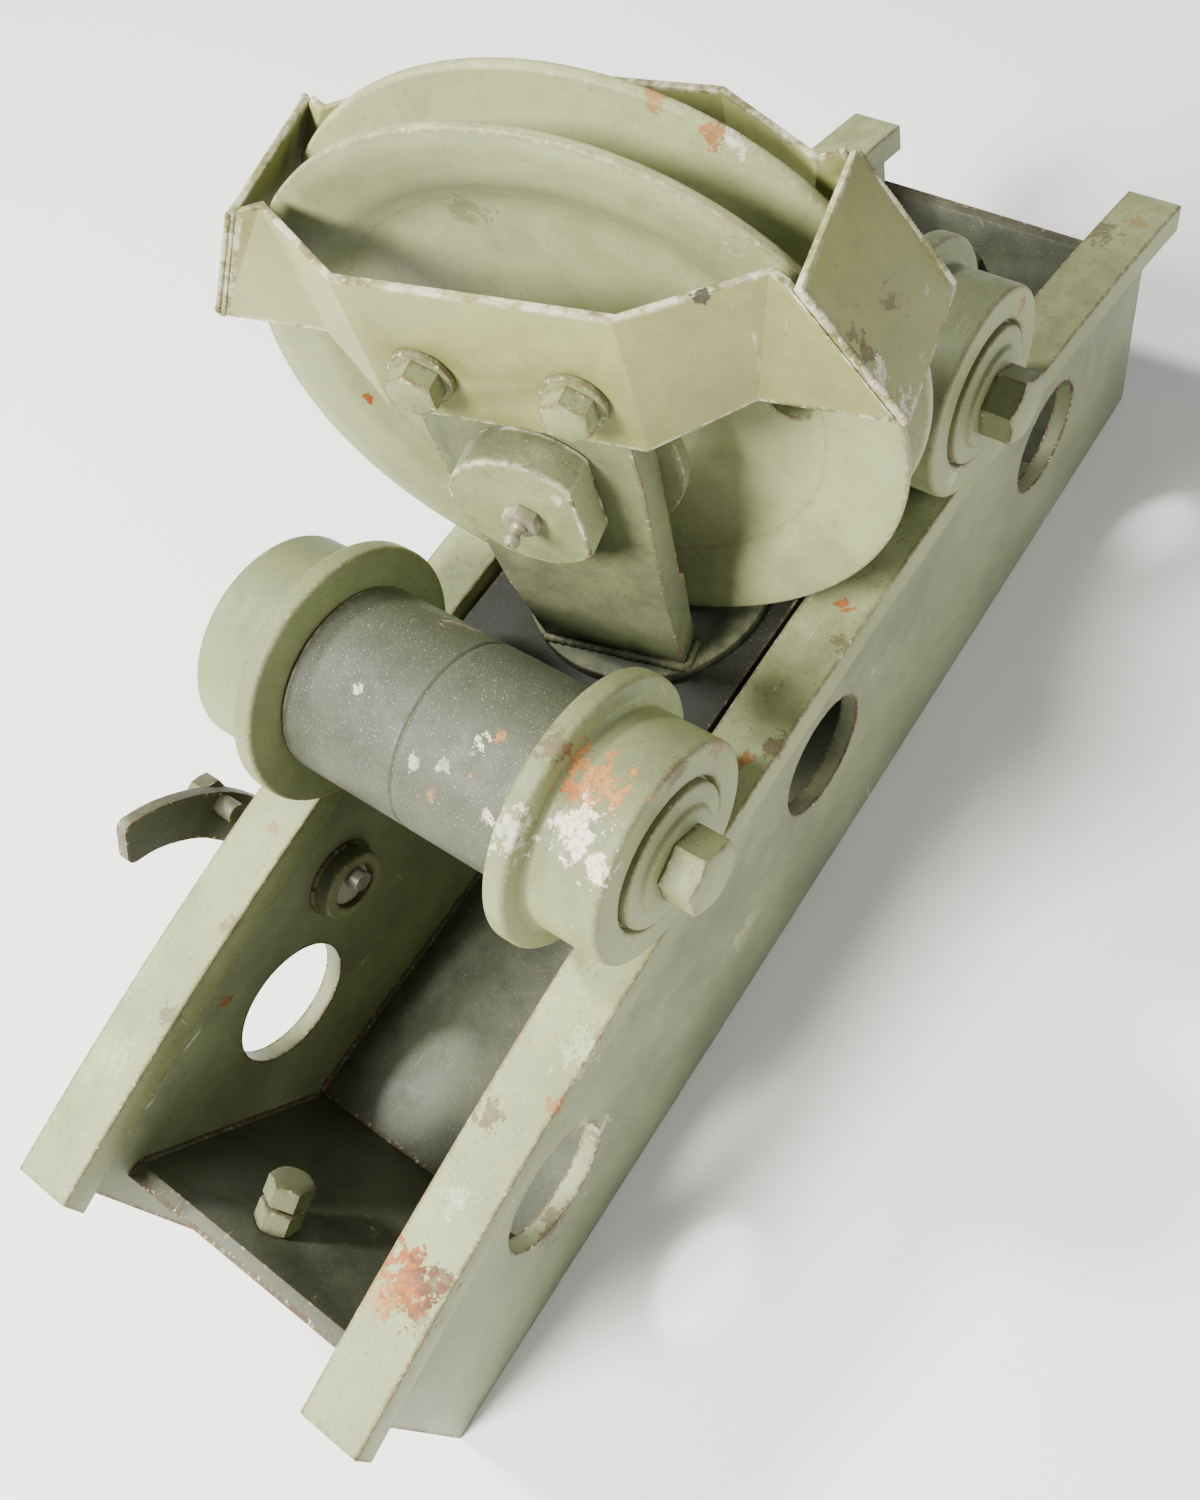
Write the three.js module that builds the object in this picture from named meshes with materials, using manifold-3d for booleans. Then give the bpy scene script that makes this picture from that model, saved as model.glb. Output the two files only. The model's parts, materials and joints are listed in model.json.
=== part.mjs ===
// A travelling swivel sheave: a carriage on four flanged wheels rolls along two arched rails of a box frame,
// and carries a turntable with a fork, a grooved sheave and a bent-plate rope guard.
// Millimetres. Origin: middle of the frame's underside. +X runs along the rails, +Y to the far rail, +Z up.
import * as THREE from "three";
import { mergeVertices } from "three/addons/utils/BufferGeometryUtils.js";
import Module from "manifold-3d";

const wasm = await Module();
wasm.setup();

const GAP = 0.3; // left between pieces that touch
const RAD = Math.PI / 180;

// Track: two arched rails, concentric about a point far below the frame.
const RAIL_CROWN_Z = 204;
const RAIL_RADIUS = 1310;
const RAIL_HALF_LENGTH = 358;
const RAIL_INNER_Y = 70;
const RAIL_OUTER_Y = 100;
const RAIL_THICK = 17;
const ARC_CENTRE_Z = RAIL_CROWN_Z - RAIL_RADIUS;

// Side webs under the rails.
const WEB_INNER_Y = 77.2;
const WEB_OUTER_Y = 86.7;
const WEB_HALF_LENGTH = 350;
const WEB_HOLE_RADIUS = 32.5;
const WEB_HOLES = [
  [-235, 89.5],
  [0, 108.5],
  [235, 89.5],
];

// Bottom plate and the two sloping end plates. topX is the inner edge of an end plate's level top.
const BOTTOM_THICK = 8;
const END_THICK_X = 7.5;
const END_SLOPE = 58 * RAD;
const PLATE_HALF_WIDTH = WEB_INNER_Y - GAP;
const ENDS = [
  { name: "lower", side: -1, topX: 330.5, topZ: 116 },
  { name: "upper", side: 1, topX: 342.5, topZ: 118 },
];
const SIDES = [
  ["near", -1],
  ["far", 1],
];

// Stop bolt with jam nut, square to each end plate.
const STOP_Y = 12;
const STOP_Z = 95;
const STOP_FLATS = 19;
const STOP_NUT_THICK = 11;
const STOP_HEAD_FROM = 13.5;
const STOP_HEAD_THICK = 10.5;
const STOP_SHANK = 6;
const STOP_TAIL = 16;

// Wheels and axles. The carriage stands a little up the track from the crown.
const CARRIAGE_REST = 0.21 * RAD;
const WHEEL_X = 123;
const TREAD_RADIUS = 47.4;
const FLANGE_RADIUS = 58.4;
const FLANGE_INNER_Y = 59.2;
const FLANGE_OUTER_Y = 69.2;
const WHEEL_OUTER_Y = 102.6;
const WHEEL_Z = ARC_CENTRE_Z + Math.sqrt((RAIL_RADIUS + TREAD_RADIUS + GAP) ** 2 - WHEEL_X ** 2);
const RECESS_DEPTH = 4;
const SHAFT_END = WHEEL_OUTER_Y - RECESS_DEPTH - 1.5;
const TUBE_RADIUS = 42;
const TUBE_BORE = 20;
const TUBE_SEAM = 1.2;
const SHAFT_RADIUS = 19;
const WHEEL_BORE = 19.6;
const CAP_RADIUS = 31;
const CAP_STEP_RADIUS = 22;
const AXLE_BOLT_FLATS = 28;
const AXLE_BOLT_HEAD = 15;
const AXLE_BOLT_SHANK = 9;

// Carriage plate with a saddle under each axle tube and a stop lug at each end.
const DECK_TOP_Z = 198.3;
const DECK_THICK = 12;
const DECK_HALF_LENGTH = 128;
const DECK_HALF_WIDTH = 66;
const SADDLE_HALF_LENGTH = 24;
const SADDLE_HALF_WIDTH = 46;
const LUG_BOTTOM_Z = 132;
const LUG_INNER_X = 110;
const LUG_OUTER_X = 122;
const LUG_Y = [-22, 46];

// Keepers under the deck, hooked below the rails' inner lips.
const KEEPER_HALF_LENGTH = 60;
const KEEPER_INNER_Y = 55;
const KEEPER_OUTER_Y = 74.5;
const KEEPER_BOTTOM_Z = 172;
const KEEPER_LIP_Z = 181.5;

// Turntable and fork. Inside the turning group +X is the sheave's axis and +Y lies across it.
const REST_YAW = 14 * RAD;
const TABLE_RADIUS = 57;
const TABLE_TOP_Z = 204.6;
const KINGPIN_RADIUS = 16;
const KINGPIN_BOTTOM_Z = 172;
const KING_NUT_FLATS = 46;
const CHEEK_INNER = 33.4;
const CHEEK_OUTER = 49;
const CHEEK_FOOT_INNER = 30;
const CHEEK_FOOT_OUTER = 44;
const CHEEK_FOOT_TOP_Z = 258;
const CHEEK_TOP_Z = 404;
const CHEEK_BOTTOM_HALF = 33;
const CHEEK_TOP_HALF = 41;
const CHEEK_TAPER_TOP_Z = 335;

// Sheave, its pin and its thrust discs.
const SHEAVE_Z = 334;
const SHEAVE_RADIUS = 128;
const SHEAVE_HALF_WIDTH = 16.5;
const HUB_RADIUS = 40;
const HUB_HALF_WIDTH = 27;
const WEB_HALF_THICK = 6;
const GROOVE_ROOT_RADIUS = 92;
const ROPE_RADIUS = 9.5;
const PIN_RADIUS = 16;
const PIN_HEAD_RADIUS = 29.5;
const PIN_HEAD_FLAT = 22.7;
const PIN_HEAD_OUTER = 65.8;
const BUSH_OUTER = 20.6;
const DISC_RADIUS = 50;
const PIN_NUT_FLATS = 46;
const PIN_NUT_THICK = 18;
const SHEAVE_HOLE_RADIUS = 10;
const SHEAVE_HOLE_CIRCLE = 89;
const SHEAVE_HOLE_ANGLE = -9 * RAD;

// Rope guard: two bent side plates and two sloping end plates.
const GUARD_THICK = 3;
const GUARD_OUTER = CHEEK_OUTER + GAP + GUARD_THICK;
const GUARD_FOLD = 49.5;
const GUARD_TOP_Z = 428;
const GUARD_BOTTOM_Z = 366.5;
const GUARD_CREASE_TOP = [25.6, 90, GUARD_TOP_Z];
const GUARD_CREASE_FOOT = [31.4, 82.5, 376];
const GUARD_END_TOP = [29.8, 101, GUARD_TOP_Z];
const GUARD_END_BOTTOM = [30, 132.5, 374];
const GUARD_BOLT_Y = 28.4;
const GUARD_BOLT_Z = 388.5;
const GUARD_BOLT_SHANK = 6;
const GUARD_BOLT_FLATS = 17;
const GUARD_BOLT_HEAD = 8;
const WASHER_RADIUS = 12;
const WASHER_THICK = 2.5;

// Lock on the far web: a boss, a spindle with an off-centre pin, and a hand lever.
const LOCK_X = -176;
const LOCK_Z = 127;
const LOCK_BOSS_RADIUS = 18;
const LOCK_BOSS_BORE = 12;
const LOCK_BOSS_INNER_Y = 67;
const SPINDLE_RADIUS = 8;
const SPINDLE_END_Y = 118;
const LOCK_PIN_RADIUS = 5;
const LOCK_PIN_OFFSET = [3, 5];
const LOCK_PIN_END_Y = 62;
const LEVER_INNER_Y = 104;
const LEVER_THICK = 6;
const LEVER_WIDTH = 23;
const LEVER_LINE = [
  [LOCK_X, LOCK_Z - 13],
  [LOCK_X - 1, 144],
  [-184, 164],
  [-197, 184],
  [-211, 198],
  [-225, 206],
];
const LEVER_BEND = [
  [107, 90],
  [107, 137],
  [109, 145],
  [118, 156],
  [126, 167],
  [128, 180],
  [128, 240],
];
const LEVER_BOLT_AT = [-183, 173];
const LEVER_BOLT_SHANK = 5;
const LEVER_BOLT_TIP_Y = 114;
const LEVER_BOLT_SEAT_Y = 131.3;

const ALONG_X = new THREE.Vector3(1, 0, 0);
const ALONG_Y = new THREE.Vector3(0, 1, 0);
const ALONG_Z = new THREE.Vector3(0, 0, 1);

function finish(color, roughness, metalness) {
  return new THREE.MeshStandardMaterial({ color, roughness, metalness });
}

const OLIVE = finish(0x93996f, 0.62, 0.1);
const SAGE = finish(0x9ba682, 0.6, 0.1);
const KHAKI = finish(0xa7a579, 0.6, 0.1);
const GREY = finish(0x6f7265, 0.7, 0.1);
const STEEL = finish(0x8c8a80, 0.4, 0.8);
const BRONZE = finish(0xa47a45, 0.4, 0.8);

// Solids from three.js geometry, and back.
function solid(geometry) {
  if (!geometry.isBufferGeometry) return geometry;
  const bare = new THREE.BufferGeometry();
  bare.setAttribute("position", geometry.getAttribute("position"));
  bare.setIndex(geometry.index);
  const merged = mergeVertices(bare, 1e-4);
  return new wasm.Manifold(
    new wasm.Mesh({
      numProp: 3,
      vertProperties: new Float32Array(merged.attributes.position.array),
      triVerts: new Uint32Array(merged.index.array),
    }),
  );
}

function surface(body) {
  const mesh = body.getMesh();
  const geometry = new THREE.BufferGeometry();
  geometry.setAttribute("position", new THREE.BufferAttribute(mesh.vertProperties, 3));
  geometry.setIndex(new THREE.BufferAttribute(mesh.triVerts, 1));
  geometry.computeVertexNormals();
  return geometry;
}

function cut(base, ...tools) {
  return tools.reduce((left, tool) => left.subtract(solid(tool)), solid(base));
}

function join(base, ...others) {
  return others.reduce((left, other) => left.add(solid(other)), solid(base));
}

// Primitive shapes. Rods, rings and hexagons span from..to along their direction, measured from origin.
function aim(geometry, direction, origin = new THREE.Vector3()) {
  geometry.applyQuaternion(new THREE.Quaternion().setFromUnitVectors(ALONG_Y, direction));
  return geometry.translate(origin.x, origin.y, origin.z);
}

function rod(radius, from, to, direction, origin, segments = 24) {
  const shape = new THREE.CylinderGeometry(radius, radius, to - from, segments);
  return aim(shape.translate(0, (from + to) / 2, 0), direction, origin);
}

function hexagon(flats, from, to, direction, origin) {
  return rod(flats / Math.sqrt(3), from, to, direction, origin, 6);
}

function turned(profile, direction, origin, segments = 36) {
  const points = profile.map(([radius, height]) => new THREE.Vector2(radius, height));
  return aim(new THREE.LatheGeometry([...points, points[0]], segments), direction, origin);
}

function ring(inner, outer, from, to, direction, origin, segments = 32) {
  const profile = [
    [inner, from],
    [outer, from],
    [outer, to],
    [inner, to],
  ];
  return turned(profile, direction, origin, segments);
}

function block([x0, x1], [y0, y1], [z0, z1]) {
  const box = new THREE.BoxGeometry(x1 - x0, y1 - y0, z1 - z0);
  return box.translate((x0 + x1) / 2, (y0 + y1) / 2, (z0 + z1) / 2);
}

// An outline in X and Z, given thickness from y0 to y1.
function slabXZ(shape, y0, y1, curveSegments = 24) {
  const slab = new THREE.ExtrudeGeometry(shape, { depth: y1 - y0, bevelEnabled: false, curveSegments });
  return slab.rotateX(Math.PI / 2).translate(0, y1, 0);
}

// An outline in Y and Z, given thickness from x0 to x1.
function slabYZ(shape, x0, x1, curveSegments = 24) {
  const slab = new THREE.ExtrudeGeometry(shape, { depth: x1 - x0, bevelEnabled: false, curveSegments });
  slab.applyMatrix4(new THREE.Matrix4().makeBasis(ALONG_Y, ALONG_Z, ALONG_X));
  return slab.translate(x0, 0, 0);
}

function polygon(points) {
  return new THREE.Shape(points.map(([u, v]) => new THREE.Vector2(u, v)));
}

// A band of constant width along a smooth line through the points.
function ribbon(points, width, steps = 14) {
  const line = new THREE.CatmullRomCurve3(points.map(([u, v]) => new THREE.Vector3(u, v, 0)));
  const sides = [[], []];
  for (let i = 0; i <= steps; i++) {
    const at = line.getPoint(i / steps);
    const way = line.getTangent(i / steps);
    const offset = new THREE.Vector3(-way.y, way.x, 0).multiplyScalar(width / 2);
    sides[0].push(at.clone().add(offset));
    sides[1].unshift(at.clone().sub(offset));
  }
  return polygon([...sides[0], ...sides[1]].map((p) => [p.x, p.y]));
}

const root = new THREE.Group();

function piece(parent, name, shape, material) {
  const geometry = shape.isBufferGeometry ? shape : surface(shape);
  const mesh = new THREE.Mesh(geometry, material);
  mesh.name = name;
  parent.add(mesh);
}

// Frame ------------------------------------------------------------------------------------------

function arcShape(radius, halfLength, baseLine) {
  const end = Math.asin(halfLength / radius);
  const shape = new THREE.Shape();
  shape.absarc(0, ARC_CENTRE_Z, radius, Math.PI / 2 + end, Math.PI / 2 - end, true);
  baseLine(shape);
  return shape;
}

function railShape() {
  const under = RAIL_RADIUS - RAIL_THICK;
  const end = Math.asin(RAIL_HALF_LENGTH / under);
  return arcShape(RAIL_RADIUS, RAIL_HALF_LENGTH, (shape) =>
    shape.absarc(0, ARC_CENTRE_Z, under, Math.PI / 2 - end, Math.PI / 2 + end, false),
  );
}

function webShape() {
  const shape = arcShape(RAIL_RADIUS - RAIL_THICK - GAP, WEB_HALF_LENGTH, (outline) => {
    outline.lineTo(WEB_HALF_LENGTH, 0);
    outline.lineTo(-WEB_HALF_LENGTH, 0);
  });
  for (const [x, z] of WEB_HOLES) {
    const hole = new THREE.Path();
    hole.absarc(x, z, WEB_HOLE_RADIUS, 0, 2 * Math.PI, false);
    shape.holes.push(hole);
  }
  return shape;
}

// Distance from the middle to an end plate's inner face at height z.
function endFaceX(end, z) {
  return end.topX - (end.topZ - z) / Math.tan(END_SLOPE);
}

function endPlate(end) {
  const foot = endFaceX(end, 0);
  const outline = polygon([
    [end.side * (end.topX + END_THICK_X), end.topZ],
    [end.side * end.topX, end.topZ],
    [end.side * foot, 0],
    [end.side * (foot + END_THICK_X), 0],
  ]);
  const hole = rod(STOP_SHANK + GAP, -30, 20, ...stopLine(end));
  return cut(slabXZ(outline, -PLATE_HALF_WIDTH, PLATE_HALF_WIDTH), hole);
}

// Direction and starting point of the line square to an end plate's inner face.
function stopLine({ side, ...end }) {
  const direction = new THREE.Vector3(-side * Math.sin(END_SLOPE), 0, Math.cos(END_SLOPE));
  return [direction, new THREE.Vector3(side * endFaceX(end, STOP_Z), STOP_Y, STOP_Z)];
}

function stopBolt(end) {
  const way = stopLine(end);
  return join(
    hexagon(STOP_FLATS, STOP_HEAD_FROM, STOP_HEAD_FROM + STOP_HEAD_THICK, ...way),
    rod(STOP_SHANK, -STOP_TAIL, STOP_HEAD_FROM + 1, ...way),
  );
}

function stopNut(end) {
  const way = stopLine(end);
  return cut(
    hexagon(STOP_FLATS, GAP, GAP + STOP_NUT_THICK, ...way),
    rod(STOP_SHANK + GAP, -1, STOP_NUT_THICK + 2, ...way),
  );
}

function addFrame() {
  const spindleHole = rod(SPINDLE_RADIUS + GAP, 0, 120, ALONG_Y, new THREE.Vector3(LOCK_X, 0, LOCK_Z));
  piece(root, "near_rail", slabXZ(railShape(), -RAIL_OUTER_Y, -RAIL_INNER_Y), OLIVE);
  piece(root, "far_rail", slabXZ(railShape(), RAIL_INNER_Y, RAIL_OUTER_Y), OLIVE);
  piece(root, "near_web", slabXZ(webShape(), -WEB_OUTER_Y, -WEB_INNER_Y), OLIVE);
  piece(root, "far_web", cut(slabXZ(webShape(), WEB_INNER_Y, WEB_OUTER_Y), spindleHole), OLIVE);
  piece(root, "bottom_plate", bottomPlate(), GREY);
  for (const end of ENDS) {
    piece(root, end.name + "_end_plate", endPlate(end), GREY);
    piece(root, end.name + "_stop_bolt", stopBolt(end), OLIVE);
    piece(root, end.name + "_stop_nut", stopNut(end), OLIVE);
  }
}

// The bottom plate's ends are cut to the slope of the end plates that stand against them.
function bottomPlate() {
  const gap = GAP / Math.sin(END_SLOPE);
  const edge = (end, z) => [end.side * (endFaceX(end, z) - gap), z];
  const outline = polygon([
    edge(ENDS[0], 0),
    edge(ENDS[1], 0),
    edge(ENDS[1], BOTTOM_THICK),
    edge(ENDS[0], BOTTOM_THICK),
  ]);
  return slabXZ(outline, -PLATE_HALF_WIDTH, PLATE_HALF_WIDTH);
}

// Lock -------------------------------------------------------------------------------------------

const LOCK_AXIS = new THREE.Vector3(LOCK_X, 0, LOCK_Z);
const LEVER_BOLT = new THREE.Vector3(LEVER_BOLT_AT[0], 0, LEVER_BOLT_AT[1]);

function lockLever() {
  const outline = slabXZ(ribbon(LEVER_LINE, LEVER_WIDTH), LEVER_INNER_Y - 4, LEVER_INNER_Y + 34);
  const bend = slabYZ(ribbon(LEVER_BEND, LEVER_THICK), LOCK_X - 80, LOCK_X + 40);
  const eye = rod(SPINDLE_RADIUS + GAP, 60, 140, ALONG_Y, LOCK_AXIS);
  const boltHole = rod(LEVER_BOLT_SHANK + GAP, 60, 140, ALONG_Y, LEVER_BOLT);
  return cut(solid(outline).intersect(solid(bend)), eye, boltHole);
}

function lockSpindle() {
  const offset = new THREE.Vector3(LOCK_PIN_OFFSET[0], 0, LOCK_PIN_OFFSET[1]);
  return join(
    rod(SPINDLE_RADIUS, 70, SPINDLE_END_Y, ALONG_Y, LOCK_AXIS),
    rod(LOCK_BOSS_BORE - 0.8, 70, 74, ALONG_Y, LOCK_AXIS),
    rod(LOCK_PIN_RADIUS, LOCK_PIN_END_Y, 71, ALONG_Y, LOCK_AXIS.clone().add(offset), 16),
  );
}

function addLock() {
  const inside = WEB_INNER_Y - GAP;
  piece(
    root,
    "lock_boss",
    ring(LOCK_BOSS_BORE, LOCK_BOSS_RADIUS, LOCK_BOSS_INNER_Y, inside, ALONG_Y, LOCK_AXIS),
    OLIVE,
  );
  piece(root, "lock_spindle", lockSpindle(), STEEL);
  piece(root, "lock_lever", lockLever(), SAGE);
  const nut = cut(
    hexagon(22, LEVER_INNER_Y + LEVER_THICK + 2 * GAP, SPINDLE_END_Y - 1, ALONG_Y, LOCK_AXIS),
    rod(SPINDLE_RADIUS + GAP, 100, 130, ALONG_Y, LOCK_AXIS),
  );
  piece(root, "lever_nut", nut, OLIVE);
  const bolt = join(
    rod(LEVER_BOLT_SHANK, LEVER_BOLT_TIP_Y, LEVER_BOLT_SEAT_Y + 1, ALONG_Y, LEVER_BOLT),
    hexagon(16, LEVER_BOLT_SEAT_Y, LEVER_BOLT_SEAT_Y + 9, ALONG_Y, LEVER_BOLT),
  );
  piece(root, "lever_bolt", bolt, OLIVE);
}

// Carriage ---------------------------------------------------------------------------------------

// Everything that travels hangs in one group, turned about the centre of the rails' arc.
const carriage = new THREE.Group();

function axleLine(end) {
  return new THREE.Vector3(end * WHEEL_X, 0, WHEEL_Z);
}

function deck() {
  const plate = block(
    [-DECK_HALF_LENGTH, DECK_HALF_LENGTH],
    [-DECK_HALF_WIDTH, DECK_HALF_WIDTH],
    [DECK_TOP_Z - DECK_THICK, DECK_TOP_Z],
  );
  const lugs = [-1, 1].map((end) => {
    const reach = end < 0 ? [-LUG_OUTER_X, -LUG_INNER_X] : [LUG_INNER_X, LUG_OUTER_X];
    return block(reach, LUG_Y, [LUG_BOTTOM_Z, DECK_TOP_Z - 1]);
  });
  const flangeRoom = ENDS.flatMap(({ side: end }) =>
    SIDES.map(([, side]) => {
      const from = side < 0 ? -DECK_HALF_WIDTH - 9 : FLANGE_INNER_Y - 1.5;
      const to = side < 0 ? -FLANGE_INNER_Y + 1.5 : DECK_HALF_WIDTH + 9;
      return rod(FLANGE_RADIUS + 2, from, to, ALONG_Y, axleLine(end), 36);
    }),
  );
  const kingHole = rod(KINGPIN_RADIUS + 2 * GAP, 100, 240, ALONG_Z);
  return cut(join(plate, ...lugs), ...flangeRoom, kingHole);
}

function saddle(end) {
  const x = end * WHEEL_X;
  const body = block(
    [x - SADDLE_HALF_LENGTH, x + SADDLE_HALF_LENGTH],
    [-SADDLE_HALF_WIDTH, SADDLE_HALF_WIDTH],
    [DECK_TOP_Z + GAP, WHEEL_Z - TUBE_RADIUS + 8],
  );
  return cut(body, rod(TUBE_RADIUS + GAP, -60, 60, ALONG_Y, axleLine(end), 48));
}

// The tube is two halves welded end to end, with a narrow groove left at the joint.
function axleTube(end) {
  const half = FLANGE_INNER_Y - 0.7;
  const profile = [
    [TUBE_BORE, -half],
    [TUBE_RADIUS, -half],
    [TUBE_RADIUS, -TUBE_SEAM],
    [TUBE_RADIUS - TUBE_SEAM, 0],
    [TUBE_RADIUS, TUBE_SEAM],
    [TUBE_RADIUS, half],
    [TUBE_BORE, half],
  ];
  return turned(profile, ALONG_Y, axleLine(end), 40);
}

function axleShaft(end) {
  const bar = rod(SHAFT_RADIUS, -SHAFT_END, SHAFT_END, ALONG_Y, axleLine(end), 32);
  const tapped = SIDES.map(([, side]) => {
    const span = side < 0 ? [-SHAFT_END - 1, -SHAFT_END + 32] : [SHAFT_END - 32, SHAFT_END + 1];
    return rod(AXLE_BOLT_SHANK + GAP, ...span, ALONG_Y, axleLine(end), 20);
  });
  return cut(bar, ...tapped);
}

// Profiles below run from the frame outwards and are turned towards the near or far side.
function outward(side) {
  return new THREE.Vector3(0, side, 0);
}

function wheel(end, side) {
  const profile = [
    [WHEEL_BORE, FLANGE_INNER_Y],
    [FLANGE_RADIUS - 2, FLANGE_INNER_Y],
    [FLANGE_RADIUS, FLANGE_INNER_Y + 2],
    [FLANGE_RADIUS, FLANGE_OUTER_Y - 3],
    [FLANGE_RADIUS - 2.5, FLANGE_OUTER_Y],
    [TREAD_RADIUS, FLANGE_OUTER_Y + 0.8],
    [TREAD_RADIUS, WHEEL_OUTER_Y - 3],
    [TREAD_RADIUS - 3, WHEEL_OUTER_Y],
    [CAP_RADIUS + 2, WHEEL_OUTER_Y],
    [CAP_RADIUS + 1, WHEEL_OUTER_Y - RECESS_DEPTH],
    [WHEEL_BORE, WHEEL_OUTER_Y - RECESS_DEPTH],
  ];
  return turned(profile, outward(side), axleLine(end), 36);
}

function axleCap(end, side) {
  const base = WHEEL_OUTER_Y - RECESS_DEPTH + 0.6;
  const profile = [
    [AXLE_BOLT_SHANK + GAP, base],
    [CAP_RADIUS, base],
    [CAP_RADIUS, base + 5],
    [CAP_STEP_RADIUS, base + 5.6],
    [CAP_STEP_RADIUS, base + 8],
    [AXLE_BOLT_SHANK + GAP, base + 8],
  ];
  return turned(profile, outward(side), axleLine(end), 32);
}

function axleBolt(end, side) {
  const seat = WHEEL_OUTER_Y - RECESS_DEPTH + 0.6 + 8 + GAP;
  return join(
    hexagon(AXLE_BOLT_FLATS, seat, seat + AXLE_BOLT_HEAD, outward(side), axleLine(end)),
    rod(AXLE_BOLT_SHANK, SHAFT_END - 30, seat + 1, outward(side), axleLine(end), 20),
  );
}

function keeper(side) {
  const outline = polygon([
    [side * KEEPER_INNER_Y, KEEPER_BOTTOM_Z],
    [side * KEEPER_OUTER_Y, KEEPER_BOTTOM_Z],
    [side * KEEPER_OUTER_Y, KEEPER_LIP_Z],
    [side * DECK_HALF_WIDTH, KEEPER_LIP_Z],
    [side * DECK_HALF_WIDTH, DECK_TOP_Z - DECK_THICK - GAP],
    [side * KEEPER_INNER_Y, DECK_TOP_Z - DECK_THICK - GAP],
  ]);
  return slabYZ(outline, -KEEPER_HALF_LENGTH, KEEPER_HALF_LENGTH);
}

function addCarriage() {
  piece(carriage, "carriage_deck", deck(), OLIVE);
  for (const { name: endName, side: end } of ENDS) {
    piece(carriage, endName + "_axle_saddle", saddle(end), OLIVE);
    piece(carriage, endName + "_axle_tube", axleTube(end), GREY);
    piece(carriage, endName + "_axle_shaft", axleShaft(end), STEEL);
    for (const [sideName, side] of SIDES) {
      const corner = endName + "_" + sideName;
      piece(carriage, corner + "_wheel", wheel(end, side), SAGE);
      piece(carriage, corner + "_axle_cap", axleCap(end, side), SAGE);
      piece(carriage, corner + "_axle_bolt", axleBolt(end, side), SAGE);
    }
  }
  for (const [sideName, side] of SIDES) piece(carriage, sideName + "_keeper", keeper(side), OLIVE);
  carriage.rotation.y = CARRIAGE_REST;
  carriage.position.x = -ARC_CENTRE_Z * Math.sin(CARRIAGE_REST);
  carriage.position.z = ARC_CENTRE_Z * (1 - Math.cos(CARRIAGE_REST));
  root.add(carriage);
}

// Turntable, fork and sheave ------------------------------------------------------------------------

const SHEAVE_LINE = new THREE.Vector3(0, 0, SHEAVE_Z);

function turntable() {
  return join(
    rod(TABLE_RADIUS, DECK_TOP_Z + 0.6, TABLE_TOP_Z, ALONG_Z, undefined, 48),
    rod(KINGPIN_RADIUS, KINGPIN_BOTTOM_Z, TABLE_TOP_Z - 1, ALONG_Z, undefined, 32),
  );
}

function kingNut() {
  const top = DECK_TOP_Z - DECK_THICK - 0.6;
  return cut(
    hexagon(KING_NUT_FLATS, KINGPIN_BOTTOM_Z + 1, top, ALONG_Z),
    rod(KINGPIN_RADIUS + GAP, 100, 240, ALONG_Z, undefined, 32),
  );
}

function guardBoltPoints() {
  return [-1, 1].map((hand) => new THREE.Vector3(0, hand * GUARD_BOLT_Y, GUARD_BOLT_Z));
}

function cheek(side) {
  const bottom = TABLE_TOP_Z + GAP;
  const front = [
    [CHEEK_BOTTOM_HALF, bottom],
    [CHEEK_TOP_HALF, CHEEK_TAPER_TOP_Z],
    [CHEEK_TOP_HALF, CHEEK_TOP_Z],
  ];
  const mirrored = front.map(([y, z]) => [-y, z]).reverse();
  const section = [
    [CHEEK_FOOT_INNER, bottom],
    [CHEEK_FOOT_OUTER, bottom],
    [CHEEK_OUTER, CHEEK_FOOT_TOP_Z],
    [CHEEK_OUTER, CHEEK_TOP_Z],
    [CHEEK_INNER, CHEEK_TOP_Z],
    [CHEEK_INNER, CHEEK_FOOT_TOP_Z + 5],
    [CHEEK_FOOT_INNER, CHEEK_FOOT_TOP_Z],
  ];
  const outline = slabYZ(polygon([...front, ...mirrored]), -CHEEK_OUTER - 5, CHEEK_OUTER + 5);
  const profile = slabXZ(polygon(section.map(([x, z]) => [side * x, z])), -60, 60);
  const boltHoles = guardBoltPoints().map((point) => rod(GUARD_BOLT_SHANK + GAP, 20, 60, sideways(side), point));
  const pinHole = rod(PIN_RADIUS + GAP, 10, 60, sideways(side), SHEAVE_LINE, 32);
  return cut(solid(outline).intersect(solid(profile)), pinHole, ...boltHoles);
}

function sideways(side) {
  return new THREE.Vector3(side, 0, 0);
}

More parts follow.
